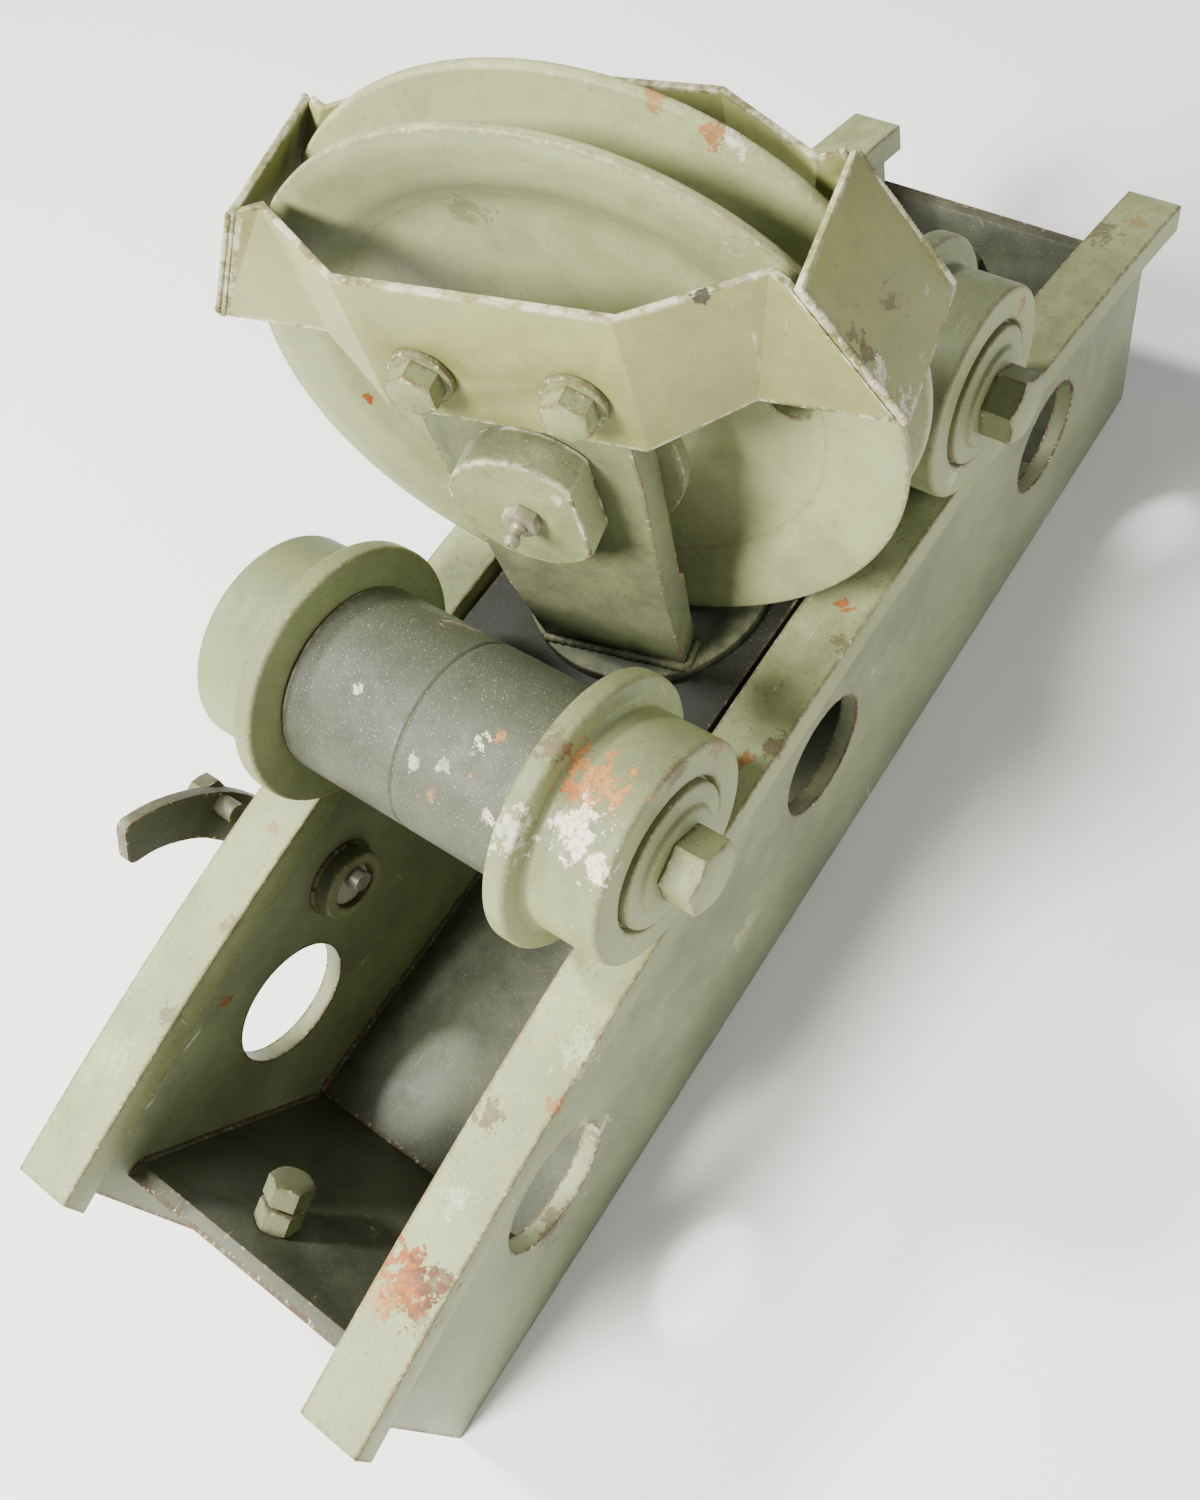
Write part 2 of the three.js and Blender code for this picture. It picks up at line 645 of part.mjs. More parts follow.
function sheave() {
  const w = SHEAVE_HALF_WIDTH;
  const profile = [
    [BUSH_OUTER + GAP, -HUB_HALF_WIDTH],
    [HUB_RADIUS, -HUB_HALF_WIDTH],
    [HUB_RADIUS + 6, -WEB_HALF_THICK - 3],
    [HUB_RADIUS + 12, -WEB_HALF_THICK],
    [88, -WEB_HALF_THICK],
    [98, -WEB_HALF_THICK - 3.5],
    [105, -w + 3.5],
    [121, -w],
    [SHEAVE_RADIUS - 1, -w + 1],
    [SHEAVE_RADIUS, -w + 3],
    [SHEAVE_RADIUS - 2, -w + 5],
  ];
  for (let i = 0; i <= 6; i++) {
    const angle = (-75 + 25 * i) * RAD;
    const radius = GROOVE_ROOT_RADIUS + ROPE_RADIUS * (1 - Math.cos(angle));
    profile.push([radius, ROPE_RADIUS * Math.sin(angle)]);
  }
  const farSide = profile.slice(0, 11).reverse();
  profile.push(...farSide.map(([radius, height]) => [radius, -height]));
  const body = turned(profile, ALONG_X, SHEAVE_LINE, 48);
  const holes = [-1, 1].map((hand) => {
    const across = hand * SHEAVE_HOLE_CIRCLE * Math.cos(SHEAVE_HOLE_ANGLE);
    const up = hand * SHEAVE_HOLE_CIRCLE * Math.sin(SHEAVE_HOLE_ANGLE);
    return rod(SHEAVE_HOLE_RADIUS, -40, 40, ALONG_X, new THREE.Vector3(0, across, SHEAVE_Z + up));
  });
  return cut(body, ...holes);
}

function sheavePin() {
  const reach = CHEEK_OUTER + 2 * GAP + PIN_NUT_THICK + 4;
  const head = cut(
    rod(PIN_HEAD_RADIUS, -PIN_HEAD_OUTER, -CHEEK_OUTER - GAP, ALONG_X, SHEAVE_LINE, 40),
    block([-80, -30], [-60, -PIN_HEAD_FLAT], [SHEAVE_Z - 60, SHEAVE_Z + 60]),
  );
  const nipple = rod(3.3, -PIN_HEAD_OUTER - 1, -PIN_HEAD_OUTER + 10, ALONG_X, SHEAVE_LINE, 16);
  return cut(join(head, rod(PIN_RADIUS, -PIN_HEAD_OUTER + 2, reach, ALONG_X, SHEAVE_LINE, 32)), nipple);
}

function greaseNipple() {
  const face = PIN_HEAD_OUTER;
  const profile = [
    [0, face - 9],
    [3, face - 9],
    [3, face + 6],
    [2.2, face + 7],
    [2.2, face + 9],
    [3.2, face + 11],
    [2.2, face + 13.2],
    [0, face + 13.8],
  ];
  return join(
    turned(profile, sideways(-1), SHEAVE_LINE, 16),
    hexagon(12.5, face + GAP, face + 5, sideways(-1), SHEAVE_LINE),
  );
}

// A side plate of the guard: a flat middle, a wing at each hand, and a facet beyond the wing's crease.
function guardSide(side) {
  const drop = GUARD_END_TOP[2] - GUARD_END_BOTTOM[2];
  const slope = Math.hypot(GUARD_END_BOTTOM[1] - GUARD_END_TOP[1], drop);
  const inset = ((GUARD_THICK + GAP) * slope) / drop;
  const hand = (mirror) => [
    [GUARD_OUTER, mirror * GUARD_FOLD, GUARD_TOP_Z],
    [GUARD_CREASE_TOP[0], mirror * GUARD_CREASE_TOP[1], GUARD_CREASE_TOP[2]],
    [GUARD_END_TOP[0], mirror * (GUARD_END_TOP[1] - inset), GUARD_END_TOP[2]],
    [GUARD_END_BOTTOM[0], mirror * (GUARD_END_BOTTOM[1] - inset), GUARD_END_BOTTOM[2]],
    [GUARD_CREASE_FOOT[0], mirror * GUARD_CREASE_FOOT[1], GUARD_CREASE_FOOT[2]],
    [GUARD_OUTER, mirror * GUARD_FOLD, GUARD_BOTTOM_Z],
  ];
  const outer = [...hand(-1).reverse(), ...hand(1)];
  const inner = outer.map(([x, y, z]) => [x - GUARD_THICK, y, z]);
  const count = outer.length;
  const outerFaces = [
    [0, 11, 6],
    [0, 6, 5],
    [0, 5, 1],
    [1, 5, 4],
    [1, 4, 2],
    [2, 4, 3],
    [6, 11, 10],
    [6, 10, 7],
    [7, 10, 9],
    [7, 9, 8],
  ];
  const faces = outerFaces.flatMap(([a, b, c]) => [a, b, c, count + a, count + c, count + b]);
  for (let i = 0; i < count; i++) {
    const next = (i + 1) % count;
    faces.push(i, next, count + i, next, count + next, count + i);
  }
  const plate = new THREE.BufferGeometry();
  plate.setAttribute("position", new THREE.Float32BufferAttribute([...outer, ...inner].flat(), 3));
  plate.setIndex(faces);
  if (side < 0) plate.rotateZ(Math.PI);
  const holes = guardBoltPoints().map((point) => rod(GUARD_BOLT_SHANK + GAP, 20, 80, sideways(side), point));
  return cut(plate, ...holes);
}

// A trapezium standing on its slope, wider at the bottom, closing one end of the guard.
function guardEnd(hand) {
  const drop = GUARD_END_TOP[2] - GUARD_END_BOTTOM[2];
  const spread = GUARD_END_BOTTOM[1] - GUARD_END_TOP[1];
  const slope = Math.hypot(drop, spread);
  const outline = polygon([
    [-GUARD_END_TOP[0], 0],
    [GUARD_END_TOP[0], 0],
    [GUARD_END_BOTTOM[0], slope],
    [-GUARD_END_BOTTOM[0], slope],
  ]);
  const plate = new THREE.ExtrudeGeometry(outline, { depth: GUARD_THICK, bevelEnabled: false });
  const down = new THREE.Vector3(0, (hand * spread) / slope, -drop / slope);
  const inward = new THREE.Vector3().crossVectors(ALONG_X, down);
  const start = new THREE.Vector3(0, hand * GUARD_END_TOP[1], GUARD_TOP_Z);
  if (inward.y * hand > 0) start.addScaledVector(inward, -GUARD_THICK);
  plate.applyMatrix4(new THREE.Matrix4().makeBasis(ALONG_X, down, inward));
  return plate.translate(start.x, start.y, start.z);
}

function guardWasher(side, point) {
  const from = GUARD_OUTER + GAP;
  return ring(GUARD_BOLT_SHANK + GAP, WASHER_RADIUS, from, from + WASHER_THICK, sideways(side), point, 24);
}

function guardBolt(side, point) {
  const seat = GUARD_OUTER + 2 * GAP + WASHER_THICK;
  return join(
    hexagon(GUARD_BOLT_FLATS, seat, seat + GUARD_BOLT_HEAD, sideways(side), point),
    rod(GUARD_BOLT_SHANK, CHEEK_INNER + 1, seat + 1, sideways(side), point, 16),
  );
}

function addSwivel() {
  const swivel = new THREE.Group();
  swivel.rotation.z = REST_YAW;
  carriage.add(swivel);
  piece(swivel, "turntable", turntable(), GREY);
  piece(swivel, "king_nut", kingNut(), STEEL);
  piece(swivel, "sheave", sheave(), SAGE);
  const bush = ring(PIN_RADIUS + GAP, BUSH_OUTER, -HUB_HALF_WIDTH, HUB_HALF_WIDTH, ALONG_X, SHEAVE_LINE);
  piece(swivel, "sheave_bush", bush, BRONZE);
  piece(swivel, "sheave_pin", sheavePin(), OLIVE);
  piece(swivel, "grease_nipple", greaseNipple(), STEEL);
  const nutFrom = CHEEK_OUTER + GAP;
  const nut = cut(
    hexagon(PIN_NUT_FLATS, nutFrom, nutFrom + PIN_NUT_THICK, ALONG_X, SHEAVE_LINE),
    rod(PIN_RADIUS + GAP, 0, 90, ALONG_X, SHEAVE_LINE, 32),
  );
  piece(swivel, "sheave_pin_nut", nut, OLIVE);
  for (const [sideName, side] of SIDES) {
    piece(swivel, sideName + "_cheek", cheek(side), OLIVE);
    const discFrom = HUB_HALF_WIDTH + GAP;
    const disc = ring(
      PIN_RADIUS + GAP,
      DISC_RADIUS,
      discFrom,
      CHEEK_INNER - GAP,
      sideways(side),
      SHEAVE_LINE,
      40,
    );
    piece(swivel, sideName + "_thrust_disc", disc, SAGE);
    piece(swivel, sideName + "_guard_plate", guardSide(side), KHAKI);
    guardBoltPoints().forEach((point, i) => {
      const hand = ["right", "left"][i];
      piece(swivel, sideName + "_" + hand + "_guard_washer", guardWasher(side, point), KHAKI);
      piece(swivel, sideName + "_" + hand + "_guard_bolt", guardBolt(side, point), KHAKI);
    });
  }
  piece(swivel, "right_guard_end", guardEnd(-1), OLIVE);
  piece(swivel, "left_guard_end", guardEnd(1), OLIVE);
}

addFrame();
addLock();
addCarriage();
addSwivel();

export default root;
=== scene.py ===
import json
import math

import bmesh
import bpy
from mathutils import Matrix, Vector, noise

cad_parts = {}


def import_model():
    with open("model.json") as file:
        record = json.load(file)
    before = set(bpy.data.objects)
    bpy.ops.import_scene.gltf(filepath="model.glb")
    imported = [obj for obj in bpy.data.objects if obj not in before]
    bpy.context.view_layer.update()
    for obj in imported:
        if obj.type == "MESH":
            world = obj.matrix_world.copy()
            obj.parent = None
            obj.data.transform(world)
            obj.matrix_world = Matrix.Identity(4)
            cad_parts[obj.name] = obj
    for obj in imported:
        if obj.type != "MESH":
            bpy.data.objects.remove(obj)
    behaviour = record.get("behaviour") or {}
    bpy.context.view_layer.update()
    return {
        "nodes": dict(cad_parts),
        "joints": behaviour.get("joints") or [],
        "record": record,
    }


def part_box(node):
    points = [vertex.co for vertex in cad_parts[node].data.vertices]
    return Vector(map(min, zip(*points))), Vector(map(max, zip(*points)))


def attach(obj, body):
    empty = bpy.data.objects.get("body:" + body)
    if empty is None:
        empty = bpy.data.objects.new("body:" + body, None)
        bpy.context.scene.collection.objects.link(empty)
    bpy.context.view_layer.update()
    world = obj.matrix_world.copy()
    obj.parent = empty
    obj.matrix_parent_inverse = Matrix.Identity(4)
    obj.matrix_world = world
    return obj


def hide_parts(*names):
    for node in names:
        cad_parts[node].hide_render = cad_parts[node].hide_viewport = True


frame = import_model()

MM = 0.001
SIDES = {"near": -1, "far": 1}
ENDS = {"lower": -1, "upper": 1}
JOINTS = {joint["name"]: joint for joint in frame["joints"]}
SLOT_OF = {part["node"]: part["material_slot"] for part in frame["record"]["subparts"]}
BODY_OF = {node: body for body, nodes in frame["record"]["behaviour"]["bodies"].items() for node in nodes}
SMOOTH_UNDER = math.radians(32)
ROUND_STEPS = 144
GAP = 0.3               # mm between pieces that touch

# Axes of the moving groups ----------------------------------------------------------------------


def joint_point(name):
    return Vector(JOINTS[name]["pos_m"])


def joint_axis(name):
    return Vector(JOINTS[name]["axis"]).normalized()


def placed(origin, x_axis, z_axis):
    """A frame with its own +X and +Z along the two axes given, which are square to each other."""
    y_axis = z_axis.cross(x_axis).normalized()
    turned = Matrix((x_axis, y_axis, z_axis)).transposed()
    return Matrix.Translation(origin) @ turned.to_4x4()


# The fork's own frame has X across the sheave, Y along it and Z up, with its origin on the pin's axis.
# The turntable's has the same axes, with its origin on the carriage.
FORK = placed(joint_point("sheave_spin"), joint_axis("sheave_spin"), joint_axis("swivel_turn"))
TABLE = placed(joint_point("swivel_turn"), joint_axis("sheave_spin"), joint_axis("swivel_turn"))
ARC_CENTRE = joint_point("travel")


def axle(end):
    """The middle of one axle, halfway between its two wheels."""
    centre = joint_point(end + "_near_roll")
    centre.y = 0
    return centre


def outward_frame(origin, direction):
    """A frame whose +Z is the direction given, for pieces turned or drawn along that direction."""
    z_axis = Vector(direction).normalized()
    side = Vector((0, 0, 1)) if abs(z_axis.z) < 0.9 else Vector((1, 0, 0))
    return placed(origin, side.cross(z_axis).normalized(), z_axis)


def crosswise(node):
    """A frame along +Y on a node's own axis, and where the node starts and stops along it, in mm."""
    low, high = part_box(node)
    middle = (low + high) / 2
    return outward_frame(Vector((middle.x, 0, middle.z)), (0, 1, 0)), low.y / MM, high.y / MM


# Materials ---------------------------------------------------------------------------------------


def srgb(red, green, blue):
    """A colour given as 8-bit screen values, as linear light."""
    def linear(value):
        value /= 255
        return value / 12.92 if value <= 0.04045 else ((value + 0.055) / 1.055) ** 2.4
    return (linear(red), linear(green), linear(blue), 1)


PAINT = srgb(143, 151, 102)
PAINT_DARK = srgb(119, 127, 82)
WEB_PAINT = srgb(140, 147, 110)
WEB_DARK = srgb(115, 121, 90)
PALE_PAINT = srgb(160, 167, 118)
PALE_DARK = srgb(139, 146, 101)
KHAKI = srgb(143, 147, 88)
KHAKI_DARK = srgb(120, 123, 70)
SHADED = srgb(88, 92, 72)
SHADED_DARK = srgb(64, 67, 55)
GREY_PAINT = srgb(84, 88, 70)
GREY_DARK = srgb(60, 63, 50)
# The two colours below darken the carriage almost to black: painted shade under the fork.
PAINTED_SHADE_DECK = srgb(32, 34, 29)
PAINTED_SHADE_DECK_DARK = srgb(21, 23, 19)
DUST_AND_TOP_LIGHT = srgb(188, 193, 146)
GRIME = srgb(62, 62, 48)
RUST = srgb(168, 86, 22)
RUST_DEEP = srgb(88, 60, 40)
BROWN = srgb(104, 84, 56)
PRIMER = srgb(214, 211, 184)
WHITE = srgb(234, 228, 198)
PINK = srgb(186, 132, 70)


class Nodes:
    """Small helpers that keep a node tree readable."""

    def __init__(self, name):
        self.material = bpy.data.materials.new(name)
        self.material.use_nodes = True
        self.tree = self.material.node_tree
        self.shader = self.tree.nodes["Principled BSDF"]

    def add(self, kind, **settings):
        node = self.tree.nodes.new(kind)
        for key, value in settings.items():
            setattr(node, key, value)
        return node

    def link(self, source, target):
        self.tree.links.new(source, target)

    def feed(self, socket, value):
        if isinstance(value, bpy.types.NodeSocket):
            self.link(value, socket)
        else:
            socket.default_value = value

    def math(self, operation, first, second=0.0, clamp=False):
        node = self.add("ShaderNodeMath", operation=operation, use_clamp=clamp)
        self.feed(node.inputs[0], first)
        self.feed(node.inputs[1], second)
        return node.outputs[0]

    def times(self, first, second):
        return self.math("MULTIPLY", first, second)

    def plus(self, first, second):
        return self.math("ADD", first, second)

    def most(self, first, second):
        return self.math("MAXIMUM", first, second)

    def ramp(self, value, low, high, to_low=0.0, to_high=1.0):
        node = self.add("ShaderNodeMapRange", interpolation_type="SMOOTHSTEP")
        self.feed(node.inputs["Value"], value)
        node.inputs["From Min"].default_value = low
        node.inputs["From Max"].default_value = high
        node.inputs["To Min"].default_value = to_low
        node.inputs["To Max"].default_value = to_high
        return node.outputs["Result"]

    def mix(self, factor, first, second):
        node = self.add("ShaderNodeMix", data_type="RGBA")
        self.feed(node.inputs["Factor"], factor)
        self.feed(node.inputs["A"], first)
        self.feed(node.inputs["B"], second)
        return node.outputs["Result"]

    def place(self, scale=(1, 1, 1), turn=(0, 0, 0)):
        """The piece's own coordinates, in metres, stretched and turned."""
        coords = self.add("ShaderNodeTexCoord").outputs["Object"]
        mapping = self.add("ShaderNodeMapping")
        self.link(coords, mapping.inputs["Vector"])
        mapping.inputs["Scale"].default_value = scale
        mapping.inputs["Rotation"].default_value = turn
        return mapping.outputs["Vector"]

    def cloud(self, where, scale, detail, roughness, distortion=0.0):
        node = self.add("ShaderNodeTexNoise")
        self.link(where, node.inputs["Vector"])
        node.inputs["Scale"].default_value = scale
        node.inputs["Detail"].default_value = detail
        node.inputs["Roughness"].default_value = roughness
        node.inputs["Distortion"].default_value = distortion
        return node.outputs["Fac"]

    def spot(self, where, centre, radius, ragged, raggedness=7.7):
        """1 inside a ball round a point, with an outline broken up by a noise."""
        node = self.add("ShaderNodeVectorMath", operation="DISTANCE")
        self.link(where, node.inputs[0])
        node.inputs[1].default_value = [value * MM for value in centre]
        near = self.math("DIVIDE", node.outputs["Value"], radius * MM)
        rough = self.times(self.plus(ragged, -0.5), raggedness)
        return self.ramp(self.plus(near, rough), 0.95, 0.8)

    def bump(self, height, strength, distance):
        node = self.add("ShaderNodeBump")
        node.inputs["Strength"].default_value = strength
        node.inputs["Distance"].default_value = distance * MM
        self.link(height, node.inputs["Height"])
        self.link(node.outputs["Normal"], self.shader.inputs["Normal"])


EDGE_REACH = 2.4


def edge_mask(nodes, reach, ragged):
    """1 on the outer corners of a piece, where little of it lies behind the surface, broken up by a noise."""
    behind = nodes.add("ShaderNodeAmbientOcclusion", samples=8, inside=True, only_local=True)
    behind.inputs["Distance"].default_value = reach * MM
    thin = nodes.math("SUBTRACT", 1.0, behind.outputs["AO"])
    return nodes.times(nodes.ramp(thin, 0.06, 0.24), nodes.ramp(ragged, 0.38, 0.53))


def scratches(nodes, patchy):
    """Fine pale scratches in two directions, gathered in patches."""
    lengthwise = nodes.cloud(nodes.place((7, 420, 60), (0, 0.35, 0.2)), 1.0, 5, 0.6, 0.3)
    crosswise_lines = nodes.cloud(nodes.place((300, 90, 9), (0.2, -0.5, 0)), 1.0, 5, 0.6, 0.3)
    drawn = nodes.most(nodes.ramp(lengthwise, 0.665, 0.7), nodes.ramp(crosswise_lines, 0.68, 0.71))
    return nodes.times(drawn, nodes.ramp(patchy, 0.5, 0.66))


def facing_up_mask(nodes, patchy):
    """1 on faces that look up, in clouds: where a paint's film colour tints the tops, as dust and painted
    light when it is pale.
    """
    facing = nodes.add("ShaderNodeSeparateXYZ")
    nodes.link(nodes.add("ShaderNodeNewGeometry").outputs["Normal"], facing.inputs[0])
    lying = nodes.ramp(facing.outputs["Z"], 0.2, 1.0)
    return nodes.times(lying, nodes.ramp(patchy, 0.3, 0.72, 0.35, 1.0))


def paint(name, light, dark, wear, chips, top_tint, speckle, streaks=0.0, worn=BROWN,
          grain=1.0, marks=(), shade_ball=None, film=DUST_AND_TOP_LIGHT):
    """Old satin paint: mottled, tinted on its upward faces (with painted light where the tint is pale), worn
    at its outer corners, chipped, with marks of its own, and with painted shade round a point where one is
    given.
    """
    nodes = Nodes(name)
    where = nodes.place()
    large = nodes.cloud(where, 11, 4, 0.6)
    medium = nodes.cloud(where, 70, 6, 0.62, 0.4)
    fine = nodes.cloud(where, 420, 4, 0.65)
    grit = nodes.cloud(where, 1300, 3, 0.7)
    ragged = nodes.cloud(where, 190, 8, 0.72)

    mottle = nodes.plus(nodes.times(large, 0.55), nodes.times(medium, 0.45))
    colour = nodes.mix(nodes.ramp(mottle, 0.3, 0.7), dark, light)
    # The faces that look up take the film colour in clouds: a pale film lightens the tops, as dust and
    # painted light together; a grey film makes the tops darker.
    top_cover = facing_up_mask(nodes, medium)
    colour = nodes.mix(nodes.times(top_cover, top_tint), colour, film)
    grime = nodes.ramp(large, 0.6, 0.36)
    colour = nodes.mix(nodes.times(grime, 0.12), colour, GRIME)

    dark_specks = nodes.ramp(fine, 0.42, 0.34)
    pale_specks = nodes.ramp(grit, 0.62, 0.7)
    colour = nodes.mix(nodes.times(dark_specks, speckle * 0.55), colour, GRIME)
    colour = nodes.mix(nodes.times(pale_specks, speckle * 0.8), colour, PRIMER)
    if streaks:
        colour = nodes.mix(nodes.times(scratches(nodes, medium), streaks), colour, PRIMER)

    chipping = nodes.cloud(where, 34, 10, 0.74, 0.6)
    deep = 0.7 - 0.05 * chips
    chipped = nodes.times(nodes.ramp(chipping, deep, deep + 0.015), min(1, chips * 2))
    bordered = nodes.ramp(chipping, deep - 0.012, deep)
    worn_edge = nodes.math("MULTIPLY", edge_mask(nodes, EDGE_REACH, ragged), wear, clamp=True)
    shade = nodes.mix(nodes.ramp(medium, 0.42, 0.6), worn, RUST_DEEP)
    pale_wear = nodes.mix(nodes.ramp(fine, 0.56, 0.66), shade, PRIMER)
    colour = nodes.mix(nodes.times(bordered, min(1, chips * 1.4)), colour, PRIMER)
    colour = nodes.mix(chipped, colour, nodes.mix(nodes.ramp(ragged, 0.45, 0.6), RUST_DEEP, RUST))
    colour = nodes.mix(worn_edge, colour, pale_wear)

    bare = nodes.most(chipped, worn_edge)
    for centre, radius, tint, strength in marks:
        mark = nodes.times(nodes.spot(where, centre, radius, ragged), strength)
        darker = [value * 0.62 for value in tint[:3]] + [1]
        colour = nodes.mix(mark, colour, nodes.mix(nodes.ramp(fine, 0.4, 0.62), tint, darker))
        bare = nodes.most(bare, nodes.times(mark, 0.7))
    # Painted shade: inside a ball round a point, the colour darkens to the deck's near black.
    if shade_ball:
        centre, radius = shade_ball
        foot_shade = nodes.times(nodes.spot(where, centre, radius, medium, 0.168), 0.9)
        colour = nodes.mix(foot_shade, colour, PAINTED_SHADE_DECK)

    nodes.link(colour, nodes.shader.inputs["Base Color"])
    gloss = nodes.plus(nodes.ramp(medium, 0.3, 0.7, 0.42, 0.6), nodes.times(top_cover, 0.12))
    nodes.link(nodes.plus(gloss, nodes.times(bare, 0.2)), nodes.shader.inputs["Roughness"])
    nodes.shader.inputs["Specular IOR Level"].default_value = 0.42

    height = nodes.plus(nodes.times(medium, 0.5), nodes.times(fine, 0.3 * grain))
    height = nodes.plus(height, nodes.times(grit, 0.12 * grain))
    nodes.bump(nodes.plus(height, nodes.times(bare, -0.55)), 0.55, 0.45)
    return nodes.material


def metal(name, light, dark, rough, metallic=0.85):
    """Dull bare metal with a greasy film."""
    nodes = Nodes(name)
    where = nodes.place()
    film = nodes.cloud(where, 60, 5, 0.6)
    fine = nodes.cloud(where, 700, 3, 0.6)
    nodes.link(nodes.mix(nodes.ramp(film, 0.35, 0.65), dark, light), nodes.shader.inputs["Base Color"])
    nodes.shader.inputs["Metallic"].default_value = metallic
    nodes.link(nodes.ramp(film, 0.3, 0.7, rough - 0.1, rough + 0.15), nodes.shader.inputs["Roughness"])
    nodes.bump(nodes.plus(nodes.times(film, 0.5), nodes.times(fine, 0.4)), 0.3, 0.2)
    return nodes.material


# Marks in the paint: the centre and the radius in mm, the colour that shows, and how strongly.
RAIL_MARKS = (
    ((-297, -84, 170), 11, RUST, 0.9),
    ((-291, -91, 172), 7, RUST_DEEP, 0.7),
    ((-306, -76, 166), 8, PINK, 0.5),
    ((-303, -95, 167), 6, BROWN, 0.5),
    ((-262, -83, 177), 6, PRIMER, 0.5),
    ((-229, -77, 184), 5, BROWN, 0.7),
    ((-212, -99, 187), 4, RUST, 0.6),
    ((-191, -97, 190), 9, DUST_AND_TOP_LIGHT, 0.7),
    ((-43, -97, 203), 5, RUST_DEEP, 0.7),
    ((-56, -88, 203), 3.5, RUST, 0.7),
    ((31, -87, 204), 3.5, RUST, 0.8),
    ((12, -94, 204), 4, BROWN, 0.6),
    ((311, -75, 167), 9, BROWN, 0.6),
    ((330, -88, 162), 6, RUST, 0.4),
    ((-299, 85, 169), 9, DUST_AND_TOP_LIGHT, 0.6),
    ((-270, 74, 176), 4, RUST_DEEP, 0.5),
    ((-182, 80, 191), 3, RUST, 0.4),
    ((-226, 72, 184), 3.5, BROWN, 0.5),
)
WEB_MARKS = (
    ((-247, -87, 58), 8, RUST_DEEP, 0.6),
    ((-204, -87, 81), 6, PRIMER, 0.6),
    ((-209, -87, 104), 5, PRIMER, 0.6),
    ((-83, -87, 60), 10, DUST_AND_TOP_LIGHT, 0.5),
    ((12, -87, 88), 5, RUST_DEEP, 0.4),
    ((-253, 77, 141), 3, RUST, 0.7),
)
TUBE_MARKS = (
    ((-133, 27, 286), 2.6, PRIMER, 0.8),
    ((-127, -32, 287), 3.2, WHITE, 0.9),
    ((-122, -37, 288), 2.4, PINK, 0.7),
    ((-139, -34, 283), 2.6, PINK, 0.6),
    ((-144, -10, 279), 2.6, PRIMER, 0.6),
    ((-148, -47, 276), 3.4, WHITE, 0.7),
    ((-140, -22, 282), 2.6, PRIMER, 0.5),
    ((-150, -20, 274), 2.2, PINK, 0.5),
)
WHEEL_MARKS = (
    ((-122, -81, 294), 11, PINK, 0.95),
    ((-130, -77, 293), 5, RUST, 0.6),
    ((-139, -85, 289), 9, WHITE, 1.0),
    ((-145, -97, 285), 6, WHITE, 0.95),
    ((-103, -103, 288), 5, BROWN, 0.7),
    ((-121, -66, 305), 6, BROWN, 0.7),
    ((-152, -68, 294), 8, PRIMER, 0.7),
    ((-80, -101, 268), 5, RUST, 0.5),
    ((-84, 100, 272), 5, RUST, 0.5),
    ((162, -103, 270), 4, RUST, 0.6),
    ((101, -103, 221), 5, PRIMER, 0.6),
)
SHEAVE_MARKS = (
    ((32, -58, 443), 4, RUST, 0.7),
    ((35, -64, 441), 4, PRIMER, 0.9),
    ((31, -39, 453), 3.5, RUST, 0.6),
    ((-30, 94, 313), 2.4, RUST, 0.95),
    ((-5, 20, 418), 6, GRIME, 0.35),
    ((6, -78, 425), 4, PRIMER, 0.7),
    ((-2, -62, 438), 4, PRIMER, 0.8),
    ((-8, -40, 449), 4, PRIMER, 0.8),
)
GUARD_MARKS = (
    ((11, -120, 399), 4, RUST_DEEP, 0.7),
    ((9, -125, 391), 4, PRIMER, 0.8),
    ((12, -132, 378), 5, PRIMER, 0.7),
    ((9, -117, 405), 3, BROWN, 0.7),
    ((33, -116, 397), 3.5, BROWN, 0.6),
    ((50, -121, 388), 3, PRIMER, 0.5),
    ((-13, -79, 427), 2.4, GRIME, 0.95),
    ((-44, -50, 387), 4, RUST_DEEP, 0.7),
)
PIN_MARKS = (((-54, -33, 349), 3, PRIMER, 0.5),)
# The turntable and the feet of the fork are painted dark as shade under the fork, up to a ball round a point
# below them.
FOOT_PAINTED_SHADE = (TABLE @ Vector((0, 0, -60 * MM)) / MM, 98)

